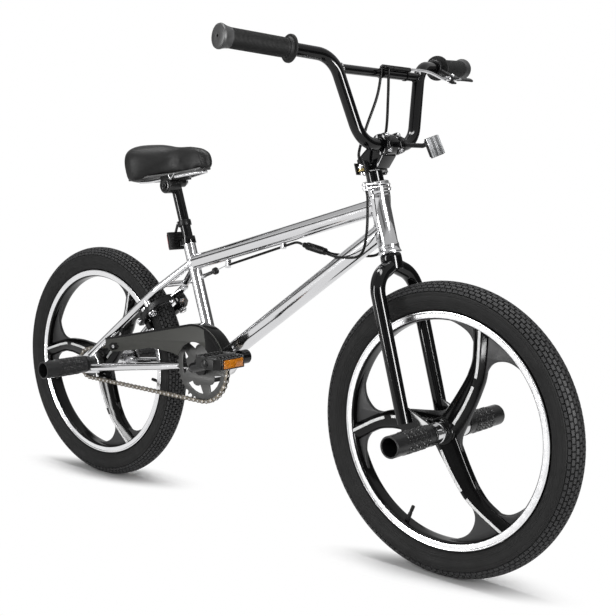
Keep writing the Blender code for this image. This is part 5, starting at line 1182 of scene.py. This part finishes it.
def leverFrame():
    corner = barCorners(1)
    out = (corner[3] - corner[2]).normalized()
    onBar = corner[3] - leverShape["onBar"] * out
    away = Vector((0.86, 0, -0.51))
    away = (away - out * away.dot(out)).normalized()
    return onBar, out, away, onBar + leverShape["reach"] * away


def makeLever():
    shape = leverShape
    onBar, out, away, pivot = leverFrame()
    axis = out.cross(-away)
    turn = placeAlong(onBar, out, away)
    work = bmesh.new()
    spun(work, onBar, out, 40, bothSides(mm((11.8, -6.2), (15, -6.2), (15.8, -5.2))))
    for size, spot, rounding in (
        ((0.022, 0.013, 0.0125), (0.025, 0, 0), 0.0022), ((0.018, 0.0034, 0.023), (0.0405, -0.0052, 0.004), 0.0014),
        ((0.018, 0.0034, 0.023), (0.0405, 0.0052, 0.004), 0.0014),
        ((0.016, 0.013, 0.006), (0.0395, 0, -0.0068), 0.0016),
    ):
        brick(work, size, moved(turn, *spot), rounding, 0, 3)
    spun(work, pivot, -out, 28, mm(
        (2.6, 4), (4.2, 4), (4.6, 8), (4.6, 13), (3.4, 13.6), (3.4, 18), (4.4, 18.6), (4.4, 28), (3.6, 30),
        (2.6, 30)), 1)
    for way in (-axis, axis):
        capScrew(work, pivot + shape["boltHalf"] * way, way, 0.0038, 0.0024, 1)
    capScrew(work, onBar - 0.0155 * away, -away, 0.0034, 0.003, 1)
    dress(work, "leverBracket", [blackPlastic, brightSteel], "lever_bracket")
    work = bmesh.new()
    line = smoothRoute([pivot + along * out + off * away for along, off in shape["blade"]], 8)
    stations = []
    for index, spot in enumerate(line):
        share = index / (len(line) - 1)
        wide = shape["wide"] - shape["waist"] * math.sin(math.pi * min(1.0, share * 1.4))
        stations.append([spot + away * wide * x + axis * shape["thick"] * math.copysign(abs(y) ** 0.6, y)
                         for x, y in circle(1, 16)])
    loft(work, stations, lambda index, number: 0 if index < shape["coated"] else 1)
    spun(work, pivot, axis, 28, bothSides(mm((2.7, -2.7), (5.6, -2.7), (6, -2))))
    dress(work, "leverBlade", [brightSteel, blackPlastic], "brake_lever")


makeLever()


def cordPiece(name, points, finish, body, replaced=()):
    radius = cableShape["housing"]
    work = bmesh.new()
    bar(work, points, radius, 14)
    piece = finishPiece(work, name, [finish], body, "black_plastic", replaced)
    length = sum((b - a).length for a, b in zip(points, points[1:]))
    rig.cord(piece, exit=points[0], length=length, diameter=2 * radius, far_end="object", stiffness="stiff", lay="taut",
            path=points)


def makeUpperCable():
    shape = cableShape
    turns = shape["turns"]
    rightEnd, leftEnd = crossEnds()
    out = (leftEnd - rightEnd).normalized()
    lift = (barShape["cross"] + shape["wrap"] + 0.0003) * slopeAt(60)
    right, left = (rightEnd.lerp(leftEnd, share) + lift for share in shape["wrapShares"])
    work = bmesh.new()
    ridges = [right.lerp(left, k / (turns * 4)) for k in range(turns * 4 + 1)]
    bar(work, ridges, shape["wrap"], 20, 0, lambda s: 0.93 + 0.07 * math.cos(s * turns * math.tau))
    for share in (0.04, 0.93):  # ties round the crossbar
        spun(work, right.lerp(left, share) - lift, out, 32, bothSides(mm((8.2, -1.6), (9.2, -1.6))))
    dress(work, "cableWrap", [cableBlack], "upper_cable")
    onBar, leverOut, away, pivot = leverFrame()
    barrelEnd = pivot - 0.0303 * leverOut
    cordPiece("leverRun", smoothRoute([
        left - 0.002 * out, left + 0.01 * out + Vector((0.002, 0, 0.001)), leftEnd + Vector((0.0176, 0.006, 0.01)),
        barrelEnd - 0.018 * leverOut, barrelEnd]), brightSteel, "steering")
    for side, word in hands:
        foot = steerAt(rotorShape["upper"] + rotorShape["barrel"] + 0.0006, 0, side * rotorShape["ear"])
        start = right + (0.004 + 0.002 * side) * out
        over = start + (0.009 * side - 0.006) * out + Vector((0.0068, 0, -0.002))
        front = over - 0.012 * zAxis
        cordPiece("rotorRun" + word.capitalize(), smoothRoute([
            foot, foot + 0.02 * steerUp, foot.lerp(front, 0.4) + Vector((-0.002, side * 0.006, 0)),
            foot.lerp(front, 0.75) + Vector((-0.001, 0.004, 0)), front, over, start]), cableBlack, "steering")


def underTopTube(share, drop):
    return topSeat.lerp(topHead, share) - (frameTubes["top"] + drop) * zAxis


def makeLowerCables():
    splitRear, splitFront = underTopTube(0.6276, 0.0137), underTopTube(0.7415, 0.0393)
    clip, stop = underTopTube(0.52, 0.0055), underTopTube(0.21, 0.01)
    along, stopAlong = (splitFront - splitRear).normalized(), (clip - stop).normalized()
    end = (splitFront - splitRear).length * 1000
    work = bmesh.new()
    spun(work, splitRear, along, 32, mm(
        (0, 0), (4.6, 0), (5.2, 2), (5.2, 8), (7.2, 9.5), (7.5, 11), (7.5, end - 10), (6.8, end - 8), (6.8, end - 1),
        (6, end), (0, end)))
    dress(work, "cableSplit", [cableBlack], "lower_cable")
    for side, word in hands:
        foot = steerAt(rotorShape["lower"] - 0.0003, 0, side * rotorShape["ear"])
        enter, lowest = splitFront + side * 0.0042 * yAxis, steerAt(0.3313, -0.046, side * 0.0275)
        cordPiece("lowerRun" + word.capitalize(), smoothRoute([
            foot, foot - 0.02 * steerUp - 0.002 * xAxis, steerAt(0.3633, -0.018, side * 0.0335), lowest,
            enter.lerp(lowest, 0.55) + Vector((0, side * 0.01, -0.006)),
            enter + 0.016 * along + Vector((0, side * 0.004, -0.001)), enter - 0.002 * along]), cableBlack, "frame")
    cordPiece("rearHousing", smoothRoute([
        splitRear, splitRear - 0.018 * along, clip + 0.012 * stopAlong, clip - 0.012 * stopAlong, clip.lerp(stop, 0.5),
        stop + 0.012 * stopAlong, stop - 0.008 * stopAlong]), cableBlack, "frame", ["rear_cable"])
    work = bmesh.new()
    bar(work, [stop - 0.006 * stopAlong, stop - 0.012 * stopAlong, cableGuide + (0.024 + 0.0366) * guideLean],
        cableShape["wire"], 10)
    for spot, way in ((stop - 0.006 * stopAlong, stopAlong), (splitRear - 0.002 * along, along)):  # ferrules
        spun(work, spot, way, 20, mm((2.6, 0), (3.2, 0), (3.4, 1), (3.4, 10), (2.8, 11), (2.6, 11)))
    finishPiece(work, "bareWire", [brightSteel], "frame", "rail_steel")


makeUpperCable()
makeLowerCables()
print("cables ready")

# chain
chainShape = {"pitch": 0.0127, "links": 84, "ringTeeth": 36, "cogTeeth": 16, "line": 0.042, "plate": 0.001,
              "round": 0.0042, "waist": 0.0029, "inner": (0.0026, 14, mm((0, -2.1), (3.6, -2.1), (3.6, 2.1), (0, 2.1))),
              "outer": (0.0036, 12, mm((0, -4.4), (1.6, -4.4), (1.9, -4.1), (1.9, 4.1), (1.6, 4.4), (0, 4.4)))}


def chainPoints():
    shape = chainShape
    big, small = (shape["pitch"] / (2 * math.sin(math.pi / shape[key])) for key in ("ringTeeth", "cogTeeth"))
    ring, cog = bbCentre, rearAxle
    stay = (ring - cog).length
    slope, lean = math.asin((ring.z - cog.z) / stay), math.asin((big - small) / stay)
    front = shape["ringTeeth"] * (math.pi + 2 * lean) / math.tau
    rear = shape["cogTeeth"] * (math.pi - 2 * lean) / math.tau
    run = stay * math.cos(lean) / shape["pitch"]
    upper, lower = math.pi / 2 + slope + lean, -math.pi / 2 + slope - lean

    def on(centre, radius, angle):
        return Vector((centre.x + radius * math.cos(angle), -shape["line"], centre.z + radius * math.sin(angle)))

    points = []
    for count in range(shape["links"]):
        if count <= front:
            points.append(on(ring, big, upper - count * math.tau / shape["ringTeeth"]))
        elif count <= front + run:
            points.append(on(ring, big, lower).lerp(on(cog, small, lower), (count - front) / run))
        elif count <= front + run + rear:
            points.append(on(cog, small, lower - (count - front - run) * math.tau / shape["cogTeeth"]))
        else:
            points.append(on(cog, small, upper).lerp(on(ring, big, upper), (count - front - run - rear) / run))
    return points


def linkOutline(half, steps=9):
    outline = []
    for centre, start, waist in ((half, -90, chainShape["waist"]), (-half, 90, -chainShape["waist"])):
        outline += [(centre + x, y) for x, y in arc(chainShape["round"], start, start + 180, steps)] + [(0, waist)]
    return outline


def makeChain():
    shape = chainShape
    half = shape["pitch"] / 2
    moulds = []
    for reach, steps, pin in (shape["inner"], shape["outer"]):
        mould = bmesh.new()
        for side in (-reach, reach):
            plate(mould, [linkOutline(half)], shape["plate"], 0.0002, Matrix.Translation((0, 0, side)), 0, 1)
        for end in (-half, half):
            spun(mould, end * xAxis, zAxis, steps, pin, 1)
        moulds.append(asMesh(mould, "chainMould"))
    points = chainPoints()
    work = bmesh.new()
    for number, (start, end) in enumerate(zip(points, points[1:] + points[:1])):
        along = end - start
        spin = Matrix.Rotation(math.atan2(along.z, along.x), 4, "Z")
        made = bmesh.new()
        made.from_mesh(moulds[number % 2])
        takeWork(work, made, matrix=sidePlane((start + end) / 2) @ spin)
    for mesh in moulds:
        bpy.data.meshes.remove(mesh)
    dress(work, "chainLinks", [chainLink, brightSteel], "chain")


makeChain()
print("chain ready")

# chain guard
guardShape = {"length": 0.283, "topRear": 0.028, "lean": 10.5, "radius": 0.089, "inner": 0.052, "offset": 0.061,
              "plate": 0.0025, "depth": 0.032, "lip": 0.0006, "rimStart": 0.024, "edge": 0.0062, "strapIn": 0.0146}


def makeGuard():
    shape = guardShape
    rear, topRear, high, thick = -shape["length"], shape["topRear"], 90 + shape["lean"], shape["plate"]
    radius, edge, lipDrop = shape["radius"], shape["edge"], shape["lip"]
    outer = arc(radius, high, 18, 30)
    slope = math.atan2(outer[0][1] - topRear, outer[0][0] - rear)
    face = shape["offset"] + thick

    def sheet(outline, thickness, rounding, out, slot=1, roundSteps=2):
        plate(work, [outline], thickness, rounding, sidePlane(bbCentre - out * yAxis), slot, roundSteps)

    work = bmesh.new()
    sheet([(rear, topRear), *outer, *arc(shape["inner"], 24, 135, 26), *mm(
        (-50, 18), (-62, 21.2), (-75, 22.5), (-130, 25), (-235, 4), (-262, 0)), (rear, 0.008)], thick, 0.0006,
        face - thick / 2, 0)
    # black sheet over the front of the flat face: painted dark reflection
    sheet([*arc(radius - 0.0004, 72, 18.4, 24), *arc(shape["inner"] + 0.0004, 24.4, 52, 12), (0.0315, 0.056),
           (0.0285, 0.07)], 0.001, 0.0004, face + 0.0004)
    sheet([(rear, topRear), *outer, *arc(radius - edge * 1.5, 18, 60, 16), *arc(radius - edge * 0.7, 68, high, 12),
           (rear + 0.001, topRear - edge * 0.7 * math.cos(slope))], 0.0018, 0.0008, face + 0.0006, 1, 3)
    inside, rimRear = radius - lipDrop, rear + shape["rimStart"]
    rimTop = topRear - lipDrop + shape["rimStart"] * math.tan(slope)
    depth = shape["depth"] - thick / 2
    sheet([(rimRear, rimTop), *arc(inside, high, 19, 30), *arc(inside - thick, 19, high, 30),
           (rimRear, rimTop - thick)], depth, 0.0004, face - thick / 2 - depth / 2)
    sheet(mm((-268, 6.5), (-257.5, 3.5), (-243, 7.5), (-237.5, 14), (-245, 21.5), (-262, 20), (-270, 13.5)), 0.0012,
          0.0004, face + 0.0002)
    capScrew(work, bbCentre + Vector((-0.2545, -0.0006 - face, 0.0125)), -yAxis, 0.0038, 0.002, 2)
    strapIn, strapOut = shape["strapIn"], face - shape["depth"] + 0.003
    below = topRear - lipDrop - thick / 2 - math.tan(slope) * rear
    seatAt = below / (seatUp.z - math.tan(slope) * seatUp.x)
    strap = Matrix.Translation(bbCentre + seatAt * seatUp - (strapIn + strapOut) / 2 * yAxis)
    brick(work, (0.016, strapOut - strapIn, 0.002), strap @ Matrix.Rotation(-slope, 4, "Y"), 0.0004, 1)
    dress(work, "chainGuard", [guardLitOliveGrey, guardBlackAndDarkReflection, brightSteel], "chain_guard")


makeGuard()
print("guard ready")

# pedals
pedalShape = {"length": 0.064, "width": 0.08, "bar": 0.013, "teeth": 7, "toothPitch": 0.0092, "pitch": (0, 80)}


def makePedal(side, word, pitch):
    shape = pedalShape
    node = "pedal_" + word
    corners = [frame["nodes"][node].matrix_world @ vert.co for vert in frame["nodes"][node].data.vertices]
    middle = Vector([(min(c[k] for c in corners) + max(c[k] for c in corners)) / 2 for k in range(3)])
    turn = Matrix.Translation(middle) @ Matrix.Rotation(math.radians(pitch), 4, "Y")
    work = bevelledNode(node, 0.0012)
    for end in (-1, 1):
        along, rim = end * (shape["length"] - shape["bar"]) / 2, end * 0.0335
        for face in (-1, 1):  # teeth along each tread bar, then lips round the reflector
            for number in range(shape["teeth"]):
                across = (number - (shape["teeth"] - 1) / 2) * shape["toothPitch"]
                brick(work, (0.0068, 0.0042, 0.003), moved(turn, along, across, face * 0.0107), 0.0008)
            brick(work, (0.0046, 0.056, 0.002), moved(turn, rim, 0, face * 0.0091), 0.0006)
            brick(work, (0.0046, 0.003, 0.019), moved(turn, rim, face * 0.0268, 0), 0.0006)
    spun(work, middle + side * (shape["width"] / 2 - 0.001) * yAxis, side * yAxis, 28, mm(
        (0, 0), (8.5, 0), (8, 2.6), (6, 4.2), (0, 4.6)))
    dress(work, node + "Shown", [pedalBlack], node)


for (side, word), pitch in zip(hands, pedalShape["pitch"]):
    makePedal(side, word, pitch)
print("pedals ready")

# rear brake
brakeShape = {"front": 0.0293, "pivotOut": 0.25, "pivotHalf": 0.043, "tipHalf": 0.015, "coil": 0.0088, "wear": 0.001,
              "padFace": 0.004, "padHalf": 0.0288, "yokeOut": 0.326, "wireForward": 0.023}


def makeBrakeArm(side, word):
    shape = brakeShape
    front, pivotHalf = shape["front"], side * shape["pivotHalf"]
    node = "brake_arm_" + word
    work = bevelledNode(node, 0.0018, segments=3)
    pivot, tip = brakeAt(shape["pivotOut"], pivotHalf, front), brakeAt(0.289, side * shape["tipHalf"], front)
    spun(work, pivot, brakeForward, 32, mm((0, 0), (9.8, 0), (9.8, 1.6), (7.6, 2.2), (7.6, 5), (6.6, 6), (0, 6)))
    capScrew(work, pivot + 0.006 * brakeForward, brakeForward, 0.0052, 0.0034, 1)
    hexNut(work, tip, brakeForward, 0.0052, 0.0036, 1)
    capScrew(work, tip + 0.0036 * brakeForward, brakeForward, 0.0026, 0.0022, 1)
    spine = ((0.256, pivotHalf), (0.272, side * 0.036), (0.286, side * 0.017))
    bar(work, [brakeAt(out, half, front) for out, half in spine], 0.0024, 14)
    coil = [pivot + 0.0014 * brakeForward + shape["coil"] * (math.cos(a) * yAxis + math.sin(a) * brakeOut)
            + brakeForward * a * 0.00032 for a in (math.tau * k / 20 for k in range(61))]
    bar(work, coil, 0.0008, 8, 1)
    for half, height in ((0.0115, 0.004), (0.0155, 0.0034)):
        nut = brakeAt(0.2035, side * (shape["padHalf"] + half), shape["wireForward"])
        hexNut(work, nut, side * yAxis, 0.0058, height, 1)
    dress(work, node + "Shown", [blackPlastic, brightSteel], node)


def makePad(side, word):
    node = "brake_pad_" + word
    work = bevelledNode(node, 0.0012)
    inner = min(abs(vert.co.y) for vert in work.verts)
    for vert in work.verts:  # worn a little on the rim side
        if abs(vert.co.y) < inner + brakeShape["padFace"]:
            vert.co.y += side * brakeShape["wear"]
    dress(work, node + "Shown", [gripRubber], node)


def makeStraddle():
    shape = brakeShape
    yoke = brakeAt(shape["yokeOut"], 0, shape["wireForward"])
    cad = [vert.co for vert in frame["nodes"]["straddle_cable"].data.vertices]
    reach = max(spot.x for spot in cad)
    ends = [spot for spot in cad if spot.x > reach - 0.0015]
    pull = sum(ends, Vector()) / len(ends)
    work = bmesh.new()
    spun(work, yoke, yAxis, 32, bothSides(mm((0, -7), (5, -7), (5.5, -6.2), (5.5, -2.2), (4.2, -1.6))))
    bar(work, [pull, pull.lerp(yoke, 0.5), yoke], cableShape["wire"], 10)
    dress(work, "straddleYoke", [brightSteel], "straddle_cable")
    for side, word in hands:
        start, tip = yoke + side * 0.003 * yAxis, brakeAt(0.2958, side * shape["tipHalf"], shape["wireForward"])
        work = bmesh.new()
        bar(work, [start.lerp(tip, k / 8) for k in range(9)], cableShape["wire"], 10)
        piece = finishPiece(work, "straddleWire" + word.capitalize(), [brightSteel], None, slotOf["straddle_cable"])
        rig.blend(piece, "frame", "brake_arm_" + word, start, tip)


for side, word in hands:
    makePad(side, word)
makeStraddle()
for side, word in hands:
    makeBrakeArm(side, word)
print("brake ready")

# seat post
work = bmesh.new()
spun(work, seatTop, seatUp, 40, mm((0, -62), (11.1, -62), (11.1, 124.6), (10, 126), (0, 126)))
dress(work, "seatPostTube", [blackPaint], "seat_post")
print("seat post ready")

# saddle
saddleShape = {"voxel": 0.0045, "shrink": 0.001, "pressure": 4.0, "frames": 20, "cap": 0.005, "length": 0.225,
               "setback": 0.112, "tilt": 9.0, "rise": 0.0195, "crown": 0.03, "nose": (0.0048, 0.86, 0.22),
               "waist": (0.003, 0.6, 0.16), "lobe": (0.0075, 0.17, 0.14), "lobeFrom": 0.012, "fill": 0.85}


def swollen(piece):  # the cover is stretched over its foam by a short cloth run
    shape = saddleShape
    first = [vert.co.copy() for vert in piece.data.vertices]
    cloth = piece.modifiers.new("cover", "CLOTH")
    cloth.settings.use_pressure = True
    cloth.settings.uniform_pressure_force = shape["pressure"]
    cloth.settings.quality = 6
    cloth.settings.effector_weights.gravity = 0
    cloth.point_cache.frame_start, cloth.point_cache.frame_end = 1, shape["frames"]
    for step in range(1, shape["frames"] + 1):
        scene.frame_set(step)
    mesh = settled(piece)
    for vert, start in zip(mesh.vertices, first):
        move = vert.co - start
        if move.length > shape["cap"]:
            vert.co = start + move * (shape["cap"] / move.length)
    swapMesh(piece, mesh)
    scene.frame_set(1)


def swapMesh(piece, mesh):
    piece.modifiers.clear()
    old, piece.data = piece.data, mesh
    bpy.data.meshes.remove(old)


def seam(work, point, normal, deep, half, where=None):  # a stitched line pressed into the cover
    for shift in (-half, 0.0, half):
        faces = [face for face in work.faces if where is None or where(face.calc_center_median())]
        geom = faces + list({edge for face in faces for edge in face.edges}) + list(
            {vert for face in faces for vert in face.verts})
        cutLine = bmesh.ops.bisect_plane(work, geom=geom, plane_co=point + normal * shift, plane_no=normal, dist=1e-6)
        if shift == 0.0:
            line = [item for item in cutLine["geom_cut"] if isinstance(item, bmesh.types.BMVert)]
    work.normal_update()
    for vert in line:
        vert.co -= vert.normal * deep


def shapeSaddle(spot):  # fuller nose, dipped waist, hanging rear lobes
    shape = saddleShape
    share = spot.x / shape["length"]
    nose, waist, lobe = (size * math.exp(-((share - middle) / wide) ** 2)
                         for size, middle, wide in (shape[key] for key in ("nose", "waist", "lobe")))
    spot.z += min(1.0, max(0.0, spot.z / shape["crown"])) * (nose - waist)
    below = shape["lobeFrom"] - spot.z
    if below > 0:
        spot.z -= lobe * min(1.0, abs(spot.y) / 0.03) * min(1.0, below / shape["lobeFrom"])
    return spot


def makeSaddle():
    shape = saddleShape
    place = moved(Matrix.Translation(postTop + shape["rise"] * zAxis)
                  @ Matrix.Rotation(math.radians(-shape["tilt"]), 4, "Y"), -shape["setback"], 0, 0)
    back, onto = place.to_3x3(), place.inverted()
    work = bmesh.new()
    work.from_mesh(frame["nodes"]["saddle_cushion"].data)
    bmesh.ops.remove_doubles(work, verts=work.verts, dist=1e-5)
    bmesh.ops.recalc_face_normals(work, faces=work.faces)
    for vert in work.verts:
        vert.co -= vert.normal * shape["shrink"]
    bmesh.ops.subdivide_edges(work, edges=work.edges[:], cuts=1, use_grid_fill=True)
    for vert in work.verts:
        vert.co = place @ shapeSaddle(onto @ vert.co)
    piece = asObject("saddleCover", asMesh(work, "saddleCover"))
    remesh = piece.modifiers.new("even", "REMESH")
    remesh.mode = "VOXEL"
    remesh.voxel_size = shape["voxel"]
    smoother = piece.modifiers.new("ease", "SMOOTH")
    smoother.factor, smoother.iterations = 0.5, 26
    swapMesh(piece, settled(piece))
    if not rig.quick():
        swollen(piece)
    work = bmesh.new()
    work.from_mesh(piece.data)
    bmesh.ops.smooth_vert(work, verts=work.verts, factor=0.5, use_axis_x=True, use_axis_y=True, use_axis_z=True)
    seam(work, place @ Vector((0.206, 0, 0.012)), (back @ Vector((1, 0, 0.28))).normalized(), 0.0009, 0.0014)
    seam(work, place @ Vector((0.0, 0, 0.006)), (back @ Vector((0.3, 0, 1))).normalized(), 0.0008, 0.0012,
         lambda spot: (onto @ spot).x < 0.075)
    work.to_mesh(piece.data)
    work.free()
    softer = piece.modifiers.new("softer", "SUBSURF")
    softer.levels = softer.render_levels = 1
    piece.data.materials.clear()
    piece.data.materials.append(saddleVinyl)
    piece.data.shade_smooth()
    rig.ride(piece, "seat")
    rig.slot(piece, "saddle_vinyl")
    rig.replaces(piece, "saddle_cushion")
    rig.padded(piece, fill=shape["fill"])


makeSaddle()
print("saddle ready")

# saddle clamp and rear reflector
clampShape = {"drop": 0.006, "teeth": 16, "toothReach": 0.0132, "spring": 0.0009}
rearLens = {"ribs": 6, "ribPitch": 0.006, "tilt": -13}


def makeSaddleClamp():
    shape = clampShape
    work = bevelledNode("saddle_clamp", 0.0014, segments=3)
    centre = postTop - shape["drop"] * seatUp
    near, far = (pick(vert.co.y for vert in work.verts) for pick in (min, max))
    end = Vector((centre.x, near, centre.z))
    spun(work, end, -yAxis, 36, mm(
        (0, -1), (12.5, -1), (13.2, 0), (13.2, 3), (11.2, 3.6), (11.2, 1.6), (7.5, 1.6), (0, 1.6)))
    for number in range(shape["teeth"]):  # teeth that hold the saddle's angle
        angle = 360 * number / shape["teeth"]
        spot = Matrix.Translation(end + shape["toothReach"] * slopeAt(angle) + 0.005 * yAxis)
        brick(work, (0.0022, 0.0075, 0.0022), spot @ Matrix.Rotation(math.radians(-angle), 4, "Y"))
    hexNut(work, end - 0.0014 * yAxis, -yAxis, 0.0068, 0.0046)
    capScrew(work, end - 0.006 * yAxis, -yAxis, 0.0034)
    hexNut(work, Vector((centre.x, far, centre.z)) + 0.007 * seatUp - 0.0004 * yAxis, yAxis, 0.0066, 0.0046, 1)
    foot = Vector((postTop.x + 0.0163, near + 0.001, postTop.z + 0.007))
    for reach in (Vector((-0.0067, 0, 0.0095)), Vector((0.0129, 0, 0.014))):
        bar(work, [foot, foot + reach], shape["spring"], 12, 1)
    dress(work, "saddleClampShown", [boltBlack, brightSteel], "saddle_clamp")


def makeRearReflector():
    shape = rearLens
    work = bevelledNode("rear_reflector_bracket", 0.0006)
    place = (Matrix.Translation(seatTop + Vector((-0.0365, 0, -0.0027)))
             @ Matrix.Rotation(math.radians(shape["tilt"]), 4, "Y"))
    for number in range(shape["ribs"]):
        up = (number - (shape["ribs"] - 1) / 2) * shape["ribPitch"]
        brick(work, (0.0022, 0.04, 0.0026), moved(place, 0.0034, 0, up), 0.0007)
    capScrew(work, seatTop + 0.0375 * seatUp + Vector((-0.0165, -0.003, 0)), -yAxis, 0.003, 0.0024, 1)
    dress(work, "rearReflectorBracketShown", [blackPlastic, brightSteel], "rear_reflector_bracket")


makeSaddleClamp()
makeRearReflector()

# the rest keep their solids' shape with softened edges
for finish, width, nodes in (
    (blackPaint, 0.0007, ["seat_clamp"]), (chromeFinish, 0.0005, ["bb_cup_right", "bb_cup_left"]),
    (chromeFinish, 0.0004, ["rear_axle", "front_axle"]), (boltBlack, 0.0004, ["cable_adjuster"]),
    (blackPlastic, 0.0006, ["front_reflector_bracket"]), (redLens, 0.0012, ["rear_reflector"]),
    (brightSteel, 0.0002, ["saddle_rails"]), (saddleShell, 0.001, ["saddle_base"]),
    (amberLens, 0.0006, [f"pedal_{word}_{end}_reflector" for side, word in hands for end in ("front", "rear")]),
    (ringSteel, 0.0004, ["chainring", "freewheel_sprocket"]),
):
    for node in nodes:
        dress(bevelledNode(node, width, 38), node + "_shown", [finish], node)
print("small pieces ready")

json.dump({"cad": [list(corner) for corner in cadBox], "visual": [list(corner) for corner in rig.bounds()]},
          open("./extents.json", "w"))
